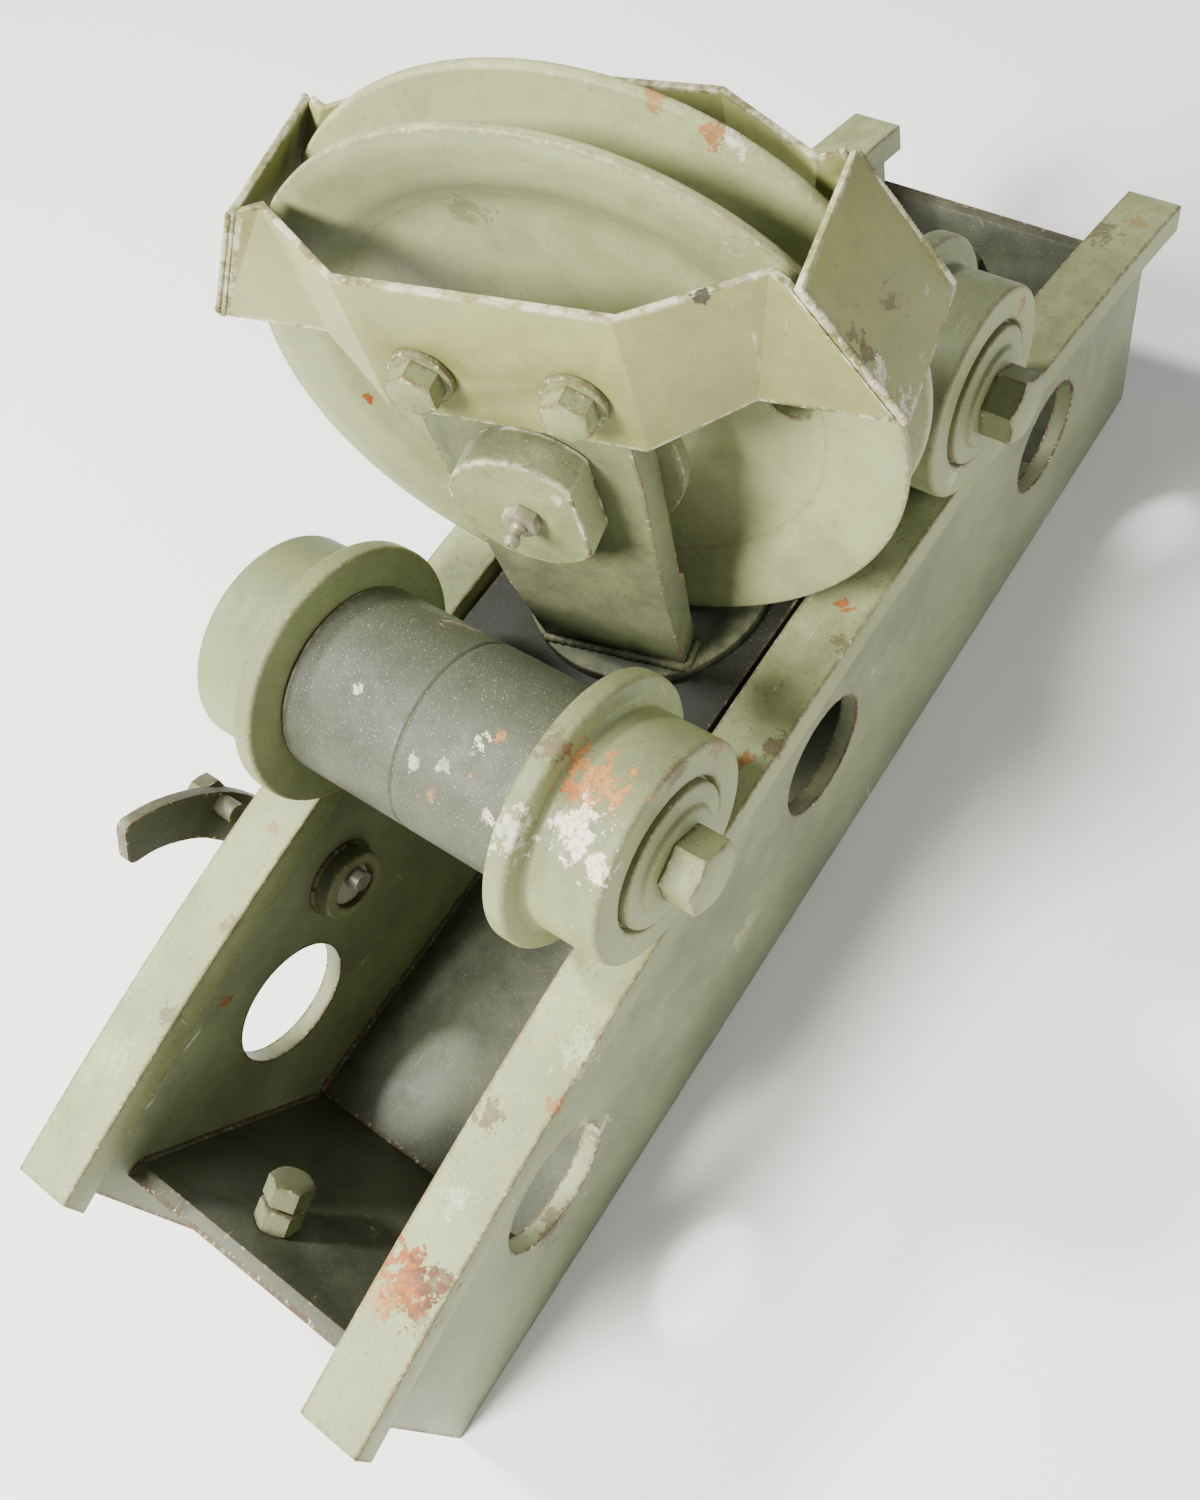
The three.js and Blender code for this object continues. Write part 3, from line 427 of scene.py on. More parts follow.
MATERIALS = {
    "rail_paint": paint("rail_paint", PAINT, PAINT_DARK, wear=1.0, chips=0.6, top_tint=0.35, speckle=0.6,
                        streaks=0.9, marks=RAIL_MARKS),
    "web_paint": paint("web_paint", WEB_PAINT, WEB_DARK, wear=0.9, chips=0.35, top_tint=0.3, speckle=0.4,
                       streaks=1.0, marks=WEB_MARKS),
    # The bottom plate and the end plates take the darker shaded colours: painted shade inside the box.
    "plate_paint": paint("plate_paint", SHADED, SHADED_DARK, wear=0.7, chips=0.3, top_tint=0.04, speckle=0.5,
                         streaks=0.35),
    # The stop bolts and nuts are darkened on their tops with a dark grey film: painted shade.
    "stop_paint": paint("stop_paint", PAINT, SHADED, wear=0.6, chips=0.25, top_tint=0.9, speckle=0.6,
                        film=GREY_DARK),
    "lever_paint": paint("lever_paint", SHADED, SHADED_DARK, wear=0.7, chips=0.3, top_tint=0.2, speckle=0.4),
    "bare_steel": metal("bare_steel", srgb(186, 184, 172), srgb(132, 130, 118), 0.5, 0.35),
    # The carriage is painted almost black: painted shade under the fork.
    "carriage_paint": paint("carriage_paint", PAINTED_SHADE_DECK, PAINTED_SHADE_DECK_DARK, wear=0.3, chips=0.1, top_tint=0.03, speckle=0.3),
    "tube_paint": paint("tube_paint", GREY_PAINT, GREY_DARK, wear=0.4, chips=0.45, top_tint=0.4, speckle=0.8,
                        streaks=0.4, worn=PRIMER, grain=1.8, marks=TUBE_MARKS, film=GREY_DARK),
    "wheel_paint": paint("wheel_paint", PAINT, PAINT_DARK, wear=0.9, chips=0.35, top_tint=0.6, speckle=0.5,
                         streaks=0.3, marks=WHEEL_MARKS, film=GREY_PAINT),
    "cap_paint": paint("cap_paint", PAINT, PAINT_DARK, wear=0.6, chips=0.25, top_tint=0.4, speckle=0.5,
                       film=GREY_PAINT),
    "bolt_paint": paint("bolt_paint", PAINT, PAINT_DARK, wear=0.7, chips=0.35, top_tint=0.4, speckle=0.6,
                        film=GREY_PAINT),
    # The turntable and the cheeks' feet are darkened inside a ball below them: painted shade under the fork.
    "fork_paint": paint("fork_paint", PAINT_DARK, SHADED, wear=0.5, chips=0.2, top_tint=0.25, speckle=0.5,
                        shade_ball=FOOT_PAINTED_SHADE),
    "pin_paint": paint("pin_paint", PAINT, PAINT_DARK, wear=0.9, chips=0.2, top_tint=0.9, speckle=0.7,
                       worn=PRIMER, marks=PIN_MARKS, film=GREY_DARK),
    "sheave_paint": paint("sheave_paint", PALE_PAINT, PALE_DARK, wear=0.7, chips=0.2, top_tint=0.42,
                          speckle=0.35, marks=SHEAVE_MARKS),
    "guard_paint": paint("guard_paint", KHAKI, KHAKI_DARK, wear=0.7, chips=0.2, top_tint=0.12, speckle=0.35,
                         streaks=0.4, worn=PRIMER, marks=GUARD_MARKS),
    "nipple_steel": metal("nipple_steel", srgb(176, 174, 148), srgb(124, 122, 98), 0.5, 0.3),
    "bush_bronze": metal("bush_bronze", srgb(176, 132, 70), srgb(110, 78, 40), 0.4),
}

# Mesh helpers ------------------------------------------------------------------------------------


def dressed(name, mesh, body, slot):
    """Shows a mesh in its slot's material, riding on its body."""
    mesh.name = name
    piece = bpy.data.objects.new(name, mesh)
    bpy.context.scene.collection.objects.link(piece)
    mesh.materials.clear()
    mesh.materials.append(MATERIALS[slot])
    mesh.polygons.foreach_set("use_smooth", [True] * len(mesh.polygons))
    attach(piece, body)
    return piece


def finish_piece(name, mesh, node):
    """Dresses a mesh as the CAD node that it stands for."""
    piece = dressed(name, mesh, BODY_OF[node], SLOT_OF[node])
    mesh.set_sharp_from_angle(angle=SMOOTH_UNDER)
    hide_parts(node)


def to_mesh(work):
    mesh = bpy.data.meshes.new("mesh")
    bmesh.ops.recalc_face_normals(work, faces=work.faces[:])
    work.to_mesh(mesh)
    work.free()
    return mesh


def sharp_edges(work, over):
    return [e for e in work.edges if len(e.link_faces) == 2 and e.calc_face_angle(0) > over]


def round_edges(work, radius, over=math.radians(30), segments=3):
    bmesh.ops.bevel(work, geom=sharp_edges(work, over), offset=radius * MM, offset_type="OFFSET",
                    segments=segments, profile=0.5, affect="EDGES", clamp_overlap=True)


def round_corners(work, along, radius):
    """Rounds the square corners of a flat bar, whose edges run through its thickness."""
    corners = [e for e in sharp_edges(work, math.radians(60))
               if abs((e.verts[0].co - e.verts[1].co).normalized().dot(along)) > 0.95]
    bmesh.ops.bevel(work, geom=corners, offset=radius * MM, offset_type="OFFSET", segments=8, profile=0.5,
                    affect="EDGES", clamp_overlap=True)


def softened(node, radius, over=30, segments=3, corners=None):
    """The CAD node's own shape, with its flat faces made whole and its edges rounded."""
    work = bmesh.new()
    work.from_mesh(frame["nodes"][node].data)
    bmesh.ops.remove_doubles(work, verts=work.verts[:], dist=0.02 * MM)
    bmesh.ops.dissolve_limit(work, angle_limit=math.radians(0.6), verts=work.verts[:], edges=work.edges[:],
                             delimit={"NORMAL"})
    if corners:
        round_corners(work, *corners)
    round_edges(work, radius, math.radians(over), segments)
    finish_piece(node + "_detail", to_mesh(work), node)


FILLET_POINTS = 6


def rounded_profile(corners, closed=True):
    """(radius, height, fillet) corners as a list of points, each fillet drawn as a curve."""
    points = []
    count = len(corners)
    for i, (radius, height, fillet) in enumerate(corners):
        here = Vector((radius, height))
        open_end = not closed and i in (0, count - 1)
        if fillet <= 0 or open_end:
            points.append(here)
            continue
        before = Vector(corners[i - 1][:2]) - here
        after = Vector(corners[(i + 1) % count][:2]) - here
        reach = min(fillet, before.length * 0.49, after.length * 0.49)
        start = here + before.normalized() * reach
        stop = here + after.normalized() * reach
        for k in range(FILLET_POINTS):
            t = k / (FILLET_POINTS - 1)
            points.append(start * (1 - t) ** 2 + here * 2 * t * (1 - t) + stop * t ** 2)
    return points


def lathe(points, where, closed=True, steps=ROUND_STEPS):
    """Turns (radius, height) points, in mm, about the +Z of the frame given."""
    work = bmesh.new()
    rings = []
    for radius, height in points:
        if radius < 1e-6:
            rings.append([work.verts.new(where @ Vector((0, 0, height * MM)))])
            continue
        ring = []
        for k in range(steps):
            angle = 2 * math.pi * k / steps
            spot = Vector((radius * math.cos(angle), radius * math.sin(angle), height)) * MM
            ring.append(work.verts.new(where @ spot))
        rings.append(ring)
    pairs = list(zip(rings, rings[1:]))
    if closed:
        pairs.append((rings[-1], rings[0]))
    for low, high in pairs:
        for k in range(steps):
            n = (k + 1) % steps
            if len(low) == 1 and len(high) == 1:
                continue
            if len(low) == 1:
                work.faces.new((low[0], high[n], high[k]))
            elif len(high) == 1:
                work.faces.new((low[k], low[n], high[0]))
            else:
                work.faces.new((low[k], low[n], high[n], high[k]))
    return work


def boolean(work, cutters, operation="DIFFERENCE"):
    """Cuts (or keeps what is inside) closed meshes, exactly."""
    base = bpy.data.objects.new("base", to_mesh(work))
    bpy.context.scene.collection.objects.link(base)
    tools = []
    for cutter in cutters:
        tool = bpy.data.objects.new("cutter", to_mesh(cutter))
        bpy.context.scene.collection.objects.link(tool)
        tools.append(tool)
        step = base.modifiers.new("cut", "BOOLEAN")
        step.operation = operation
        step.solver = "EXACT"
        step.object = tool
    bpy.context.view_layer.update()
    made = bmesh.new()
    made.from_object(base, bpy.context.evaluated_depsgraph_get())
    for item in [base, *tools]:
        mesh = item.data
        bpy.data.objects.remove(item)
        bpy.data.meshes.remove(mesh)
    return made


CHAMFER = math.radians(30)
CHAMFER_START = 0.95        # of the hexagon's half width
HEXAGON_STEPS = 72


def hexagon_body(flats, low, high, where, chamfer_low=False, chamfer_high=True, bore=0.0):
    """A hexagon along +Z with its corners turned off at one end or both, as on a real bolt or nut."""
    corner = flats / math.sqrt(3)
    work = bmesh.new()
    rings = []
    for height in (low, high):
        ring = []
        for k in range(6):
            angle = math.radians(60 * k + 30)
            spot = Vector((corner * math.cos(angle), corner * math.sin(angle), height)) * MM
            ring.append(work.verts.new(where @ spot))
        rings.append(ring)
    work.faces.new(rings[0])
    work.faces.new(rings[1])
    for k in range(6):
        n = (k + 1) % 6
        work.faces.new((rings[0][k], rings[0][n], rings[1][n], rings[1][k]))
    inner = flats / 2 * CHAMFER_START
    wide = corner + 1
    lift = (wide - inner) * math.tan(CHAMFER)
    shape = [(0, low - 0.1), (inner if chamfer_low else wide, low - 0.1)]
    if chamfer_low:
        shape.append((wide, low - 0.1 + lift))
    if chamfer_high:
        shape += [(wide, high - lift), (inner, high), (0, high)]
    else:
        shape += [(wide, high + 0.1), (0, high + 0.1)]
    solid = boolean(work, [lathe(shape, where, closed=False, steps=HEXAGON_STEPS)], "INTERSECT")
    if bore:
        hole = [(0, low - 5), (bore, low - 5), (bore, high + 5), (0, high + 5)]
        solid = boolean(solid, [lathe(hole, where, closed=False, steps=64)])
    return solid


def joined(*works):
    """Several meshes in one, left as separate shells."""
    made = bmesh.new()
    for work in works:
        mesh = to_mesh(work)
        made.from_mesh(mesh)
        bpy.data.meshes.remove(mesh)
    return made


def shank(radius, low, high, where, thread=0.0, steps=64):
    """A round bar, with a fine thread cut in its far end when a pitch is given."""
    points = [(0, low), (radius, low)]
    if thread:
        count = int((high - low) / thread) - 1
        for i in range(count):
            base = low + i * thread
            points += [(radius, base + 0.3 * thread), (radius - 0.5 * thread, base + 0.8 * thread)]
    points += [(radius, high - 0.8), (radius - 0.8, high), (0, high)]
    return lathe(points, where, closed=False, steps=steps)


BEAD_SIDES = 10
BEAD_TIP = 0.35             # how thick a bead's ends are


def bead(name, points, size, body, slot, flat=0.62, seed=0.0):
    """A weld bead along a line of points in metres: a ribbed, slightly uneven tube."""
    dense = []
    step = size * MM * 0.28
    for start, stop in zip(points, points[1:]):
        count = max(2, int((stop - start).length / step))
        dense += [start.lerp(stop, i / count) for i in range(count)]
    dense.append(points[-1])
    last = len(dense) - 1
    work = bmesh.new()
    rings = []
    for i, point in enumerate(dense):
        along = (dense[min(i + 1, last)] - dense[max(i - 1, 0)]).normalized()
        side = along.orthogonal().normalized()
        other = along.cross(side)
        ripple = 1 + 0.13 * math.sin(i * 1.9) + 0.3 * noise.noise(point * 90 + Vector((seed, 0, 0)))
        reach = size * MM * ripple * flat * (BEAD_TIP if i in (0, last) else 1)
        ring = []
        for k in range(BEAD_SIDES):
            angle = 2 * math.pi * k / BEAD_SIDES
            ring.append(work.verts.new(point + (side * math.cos(angle) + other * math.sin(angle)) * reach))
        rings.append(ring)
    for low, high in zip(rings, rings[1:]):
        for k in range(BEAD_SIDES):
            n = (k + 1) % BEAD_SIDES
            work.faces.new((low[k], low[n], high[n], high[k]))
    work.faces.new(rings[0][::-1])
    work.faces.new(rings[-1])
    dressed(name, to_mesh(work), body, slot)


# The box frame -----------------------------------------------------------------------------------

RAIL_RADIUS = 1310
RAIL_THICK = 17
WEB_FACES = {"inner": 77.2, "outer": 86.7}
RAIL_WELD = range(-346, 347, 12)        # stations along X
FLOOR_WELD = range(-262, 271, 14)
END_SLOPE = math.radians(58)
END_FOOT = (264.5, 76.2, 9)             # where a sloping end plate meets the bottom plate and a web
END_WELD_TOP = 3                        # below the end plate's top


def rail_point(x, y, drop):
    """A point on an arc below the crown of the rails, in metres."""
    radius = RAIL_RADIUS - drop
    return Vector((x, y, ARC_CENTRE.z / MM + math.sqrt(radius ** 2 - x ** 2))) * MM


def build_frame():
    for side in SIDES:
        softened(side + "_rail", 1.1)
        softened(side + "_web", 0.7)
    softened("bottom_plate", 0.6)
    for end in ENDS:
        softened(end + "_end_plate", 0.8)
    floor_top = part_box("bottom_plate")[1].z / MM
    for side, sign in SIDES.items():
        for face, y in WEB_FACES.items():
            line = [rail_point(x, sign * y, RAIL_THICK + 0.4) for x in RAIL_WELD]
            bead(f"{side}_{face}_rail_weld", line, 3.0, "frame", "rail_paint", seed=y * sign)
        y = sign * (WEB_FACES["inner"] - 0.6)
        corner = [Vector((x, y, floor_top + 0.6)) * MM for x in FLOOR_WELD]
        bead(f"{side}_floor_weld", corner, 3.2, "frame", "plate_paint", seed=sign)
    for end, sign in ENDS.items():
        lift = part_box(end + "_end_plate")[1].z / MM - END_FOOT[2] - END_WELD_TOP
        for side, across in SIDES.items():
            foot = Vector((sign * END_FOOT[0], across * END_FOOT[1], END_FOOT[2])) * MM
            top = foot + Vector((sign * lift / math.tan(END_SLOPE), 0, lift)) * MM
            bead(f"{end}_{side}_end_weld", [foot, top], 3.0, "frame", "plate_paint", seed=across * 3 + sign)


# Stops and lock ----------------------------------------------------------------------------------

STOP_FLATS, STOP_SHANK, STOP_PITCH = 19, 6, 1.5
STOP_NUT_THICK = 11
STOP_HEAD = (13.5, 24)                  # from the end plate's face
STOP_TAIL, STOP_REACH = 13.8, 16        # behind the face, and in front of it inside the head


def build_stops():
    """A bolt and a nut on each end plate, pointing into the box and square to the sloping plate."""
    for end, sign in ENDS.items():
        normal = Vector((-sign * math.sin(END_SLOPE), 0, math.cos(END_SLOPE)))
        low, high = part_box(end + "_stop_nut")
        face = (low + high) / 2 - normal * (STOP_NUT_THICK / 2 + GAP) * MM
        where = outward_frame(face, normal)
        nut = hexagon_body(STOP_FLATS, GAP, GAP + STOP_NUT_THICK, where, chamfer_low=True,
                           bore=STOP_SHANK + GAP)
        finish_piece(end + "_stop_nut_detail", to_mesh(nut), end + "_stop_nut")
        head = hexagon_body(STOP_FLATS, *STOP_HEAD, where)
        stem = shank(STOP_SHANK, -STOP_TAIL, STOP_REACH, outward_frame(face, -normal), STOP_PITCH)
        finish_piece(end + "_stop_bolt_detail", to_mesh(joined(head, stem)), end + "_stop_bolt")


LOCK_BORE = 12
BOSS_WELD_STEPS = 36
LEVER_NUT_FLATS, SPINDLE = 22, 8
LEVER_BOLT_FLATS, LEVER_BOLT_HEAD, LEVER_BOLT_SHANK = 16, 9, 5
LEVER_CORNER = 8


def build_lock():
    where, inner, outer = crosswise("lock_boss")
    low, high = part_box("lock_boss")
    radius = (high.x - low.x) / 2 / MM
    ring = [(LOCK_BORE, inner, 0.8), (radius, inner, 1.6), (radius + 0.5, outer, 0), (LOCK_BORE, outer, 0.4)]
    finish_piece("lock_boss_detail", to_mesh(lathe(rounded_profile(ring), where, steps=96)), "lock_boss")
    line = []
    for k in range(BOSS_WELD_STEPS + 1):
        angle = 2 * math.pi * k / BOSS_WELD_STEPS
        rim = Vector((math.cos(angle), 0, math.sin(angle))) * (radius + 0.8) * MM
        line.append(where.translation + Vector((0, outer, 0)) * MM + rim)
    bead("lock_boss_weld", line, 2.6, "frame", "stop_paint", seed=4)
    softened("lock_lever", 1.2, 22, corners=(Vector((0, 1, 0)), LEVER_CORNER))
    softened("lock_spindle", 0.5, 25)
    where, start, stop = crosswise("lever_nut")
    nut = hexagon_body(LEVER_NUT_FLATS, start, stop, where, bore=SPINDLE + GAP)
    finish_piece("lever_nut_detail", to_mesh(nut), "lever_nut")
    where, start, stop = crosswise("lever_bolt")
    seat = stop - LEVER_BOLT_HEAD
    head = hexagon_body(LEVER_BOLT_FLATS, seat, stop, where)
    stem = shank(LEVER_BOLT_SHANK, start, seat + 0.5, where)
    finish_piece("lever_bolt_detail", to_mesh(joined(head, stem)), "lever_bolt")


# Carriage ----------------------------------------------------------------------------------------

FLANGE_INNER, FLANGE_OUTER, WHEEL_OUTER = 59.2, 69.2, 102.6
TREAD, FLANGE, WHEEL_BORE = 47.4, 58.4, 19.6
RECESS = 4
CAP, CAP_STEP, CAP_THICK = 31, 22, 8
AXLE_BOLT_FLATS, AXLE_BOLT_HEAD, AXLE_BOLT_SHANK, AXLE_BOLT_TIP = 28, 15, 9, 67.2
AXLE_TUBE, TUBE_BORE = 42, 20


def wheel_profile():
    return rounded_profile([
        (WHEEL_BORE, FLANGE_INNER, 0.6),
        (FLANGE, FLANGE_INNER, 2.2),
        (FLANGE, FLANGE_OUTER, 2.8),
        (TREAD + 2.4, FLANGE_OUTER + 0.2, 1.0),
        (TREAD, FLANGE_OUTER + 2.2, 1.2),
        (TREAD, WHEEL_OUTER, 2.6),
        (CAP + 2.2, WHEEL_OUTER, 1.0),
        (CAP + 1.2, WHEEL_OUTER - RECESS, 0.5),
        (WHEEL_BORE, WHEEL_OUTER - RECESS, 0.4),
    ])


def cap_profile(base):
    return rounded_profile([
        (AXLE_BOLT_SHANK + GAP, base, 0),
        (CAP, base, 0.6),
        (CAP, base + 5, 1.3),
        (CAP_STEP + 1.2, base + 5.5, 0.7),
        (CAP_STEP, base + CAP_THICK, 1.1),
        (AXLE_BOLT_SHANK + GAP, base + CAP_THICK, 0),
    ])


def tube_profile(half):
    seam = 1.3
    return rounded_profile([
        (TUBE_BORE, -half, 0.4),
        (AXLE_TUBE, -half, 1.2),
        (AXLE_TUBE, -seam, 0.6),
        (AXLE_TUBE - 0.9, 0, 0.4),
        (AXLE_TUBE, seam, 0.6),
        (AXLE_TUBE, half, 1.2),
        (TUBE_BORE, half, 0.4),
    ])


def build_carriage():
    softened("carriage_deck", 0.8)
    for side in SIDES:
        softened(side + "_keeper", 0.8)
    for end in ENDS:
        softened(end + "_axle_saddle", 0.8)
        centre = axle(end)
        tube = lathe(tube_profile(FLANGE_INNER - 0.7), outward_frame(centre, (0, 1, 0)))
        finish_piece(end + "_axle_tube_detail", to_mesh(tube), end + "_axle_tube")
        for side, sign in SIDES.items():
            build_corner(end + "_" + side, outward_frame(centre, (0, sign, 0)))


def build_corner(corner, out):
    """A wheel, its end cap and its axle bolt."""
    base = WHEEL_OUTER - RECESS + 2 * GAP
    seat = base + CAP_THICK + GAP
    finish_piece(corner + "_wheel_detail", to_mesh(lathe(wheel_profile(), out)), corner + "_wheel")
    cap = lathe(cap_profile(base), out, steps=96)
    finish_piece(corner + "_axle_cap_detail", to_mesh(cap), corner + "_axle_cap")
    head = hexagon_body(AXLE_BOLT_FLATS, seat, seat + AXLE_BOLT_HEAD, out)
    pieces = [head, shank(AXLE_BOLT_SHANK, AXLE_BOLT_TIP, seat + 0.5, out)]
    if corner == "lower_far":
        pieces.append(grease_tip(out, seat + AXLE_BOLT_HEAD))
    finish_piece(corner + "_axle_bolt_detail", to_mesh(joined(*pieces)), corner + "_axle_bolt")


def grease_tip(where, face):
    """A small ball-ended grease nipple standing on a bolt head."""
    shape = rounded_profile([
        (0, face - 0.5, 0),
        (3.4, face - 0.5, 0),
        (3.4, face + 2.4, 0.5),
        (2.0, face + 3.2, 0.4),
        (2.0, face + 4.6, 0.4),
        (3.1, face + 6.6, 1.4),
        (1.8, face + 8.6, 0.5),
        (0, face + 8.8, 0),
    ], closed=False)
    return lathe(shape, where, closed=False, steps=32)


# Turntable, fork, sheave -------------------------------------------------------------------------

SHEAVE_RADIUS, RIM_HALF = 128, 16.5
ROOT, ROPE = 92, 7
GROOVE_SPREAD, GROOVE_STEPS = 78, 18
HUB, HUB_HALF, WEB_HALF = 40, 27, 6
BUSH_OUTER, PIN = 20.6, 16
HOLE_CIRCLE, HOLE_RADIUS, HOLE_ANGLE = 84, 8, math.radians(-8)
HOLE_REACH = 40


def sheave_profile():
    """One side from the bore out to the rim, the groove, and the other side back."""
    outer = [
        (BUSH_OUTER + GAP, -HUB_HALF, 0.8),
        (HUB, -HUB_HALF, 1.6),
        (HUB + 5, -WEB_HALF - 3, 3.0),
        (HUB + 13, -WEB_HALF, 4.0),
        (89, -WEB_HALF, 5.0),
        (98, -WEB_HALF - 3.5, 4.0),
        (105, -RIM_HALF + 3.0, 4.0),
        (121, -RIM_HALF, 2.0),
        (SHEAVE_RADIUS, -RIM_HALF, 1.7),
        (SHEAVE_RADIUS - 0.5, -RIM_HALF + 4.6, 1.5),
    ]
    groove = []
    for i in range(GROOVE_STEPS + 1):
        angle = math.radians(GROOVE_SPREAD * (2 * i / GROOVE_STEPS - 1))
        groove.append((ROOT + ROPE * (1 - math.cos(angle)), ROPE * math.sin(angle), 0))
    back = [(r, -h, fillet) for r, h, fillet in reversed(outer)]
    return rounded_profile(outer + groove + back)


def build_sheave():
    where = placed(joint_point("sheave_spin"), joint_axis("swivel_turn"), joint_axis("sheave_spin"))
    holes = []
    for hand in (-1, 1):
        along = hand * HOLE_CIRCLE * math.cos(HOLE_ANGLE)
        up = hand * HOLE_CIRCLE * math.sin(HOLE_ANGLE)
        where_hole = side_frame(1, along, up)
        holes.append(shank(HOLE_RADIUS, -HOLE_REACH, HOLE_REACH, where_hole, steps=48))
    wheel = boolean(lathe(sheave_profile(), where, steps=192), holes)
    finish_piece("sheave_detail", to_mesh(wheel), "sheave")
    bush = rounded_profile([
        (PIN + GAP, -HUB_HALF, 0.6),
        (BUSH_OUTER, -HUB_HALF, 0.4),
        (BUSH_OUTER, HUB_HALF, 0.4),
        (PIN + GAP, HUB_HALF, 0.6),
    ])
    finish_piece("sheave_bush_detail", to_mesh(lathe(bush, where, steps=96)), "sheave_bush")


CHEEK_OUTER, CHEEK_INNER = 49, 33.4
GUARD_OUTER = CHEEK_OUTER + GAP + 3
GUARD_BOLTS = {"right": -28.4, "left": 28.4}
GUARD_BOLT_UP = 54.5
GUARD_FLATS, GUARD_HEAD, GUARD_SHANK = 17, 8, 6
WASHER, WASHER_THICK = 12, 2.5
PIN_HEAD, PIN_FLAT, PIN_FACE = 29.5, 22.7, 65.8
PIN_NUT_FLATS, PIN_NUT_THICK = 46, 18
NIPPLE_BORE, NIPPLE_DEPTH = 3.3, 9
FOOT_WELD_UP = 5.4


def side_frame(sign, along=0.0, up=0.0):
    """A frame on the fork whose +Z points out through one cheek."""
    spot = FORK @ Vector((0, along * MM, up * MM))
    return outward_frame(spot, joint_axis("sheave_spin") * sign)


def on_table(across, along):
    """A point beside the turntable's top, in metres."""
    return TABLE @ (Vector((across, along, FOOT_WELD_UP)) * MM)


def sheave_pin():
    """A pin with a flanged head that has one flat on its right, bored for the nipple."""
    reach = CHEEK_OUTER + GAP + PIN_NUT_THICK + 4.3
    shape = rounded_profile([
        (0, -reach, 0),
        (PIN, -reach, 1.2),
        (PIN, CHEEK_OUTER + GAP, 0),
        (PIN_HEAD, CHEEK_OUTER + GAP, 0.8),
        (PIN_HEAD, PIN_FACE, 1.6),
        (NIPPLE_BORE, PIN_FACE, 0),
        (NIPPLE_BORE, PIN_FACE - NIPPLE_DEPTH, 0),
        (0, PIN_FACE - NIPPLE_DEPTH, 0),
    ], closed=False)
    body = lathe(shape, side_frame(-1), closed=False, steps=160)
    flat = FORK @ Vector((0, -PIN_FLAT * MM, 0))
    across = (FORK.to_3x3() @ Vector((0, 1, 0))).normalized()
    everything = body.verts[:] + body.edges[:] + body.faces[:]
    cut = bmesh.ops.bisect_plane(body, geom=everything, plane_co=flat, plane_no=-across, clear_outer=True,
                                 dist=1e-7)
    rim = [item for item in cut["geom_cut"] if isinstance(item, bmesh.types.BMEdge)]
    bmesh.ops.holes_fill(body, edges=rim, sides=0)
    edges = [e for e in sharp_edges(body, math.radians(40))
             if all(abs((v.co - flat).dot(across)) < 1e-5 for v in e.verts)]
    bmesh.ops.bevel(body, geom=edges, offset=0.9 * MM, offset_type="OFFSET", segments=3, profile=0.5,
                    affect="EDGES", clamp_overlap=True)
    finish_piece("sheave_pin_detail", to_mesh(body), "sheave_pin")
    nut = hexagon_body(PIN_NUT_FLATS, CHEEK_OUTER + GAP, CHEEK_OUTER + GAP + PIN_NUT_THICK, side_frame(1),
                       chamfer_low=True, bore=PIN + GAP)
    finish_piece("sheave_pin_nut_detail", to_mesh(nut), "sheave_pin_nut")


def grease_nipple():
    """A hexagon and a ball-ended stem with a small hole in its tip."""
    where = side_frame(-1)
    shape = rounded_profile([
        (0, PIN_FACE - 9, 0),
        (3, PIN_FACE - 9, 0),
        (3, PIN_FACE + 6, 0.4),
        (2.2, PIN_FACE + 7, 0.3),
        (2.2, PIN_FACE + 9, 0.5),
        (3.25, PIN_FACE + 11.2, 1.4),
        (2.0, PIN_FACE + 13.6, 0.5),
        (0.7, PIN_FACE + 13.8, 0.1),
        (0.7, PIN_FACE + 12.6, 0),
        (0, PIN_FACE + 12.6, 0),
    ], closed=False)
    base = hexagon_body(12.5, PIN_FACE + GAP, PIN_FACE + 5, where)
    nipple = joined(base, lathe(shape, where, closed=False, steps=48))
    finish_piece("grease_nipple_detail", to_mesh(nipple), "grease_nipple")


KINGPIN, TURNTABLE = 16, 57
KINGPIN_END, TABLE_TOP = -28, 4.6
KING_NUT_FLATS = 46
KING_NUT = (-27, -14.3)                 # from the turntable's joint
DISC = 50
FOOT_ACROSS, FOOT_HALF = 45, 34.2       # the outer corner of a cheek's foot
FOOT_WELD = range(-34, 35, 4)
FOOT_END_WELD = range(31, 46, 2)


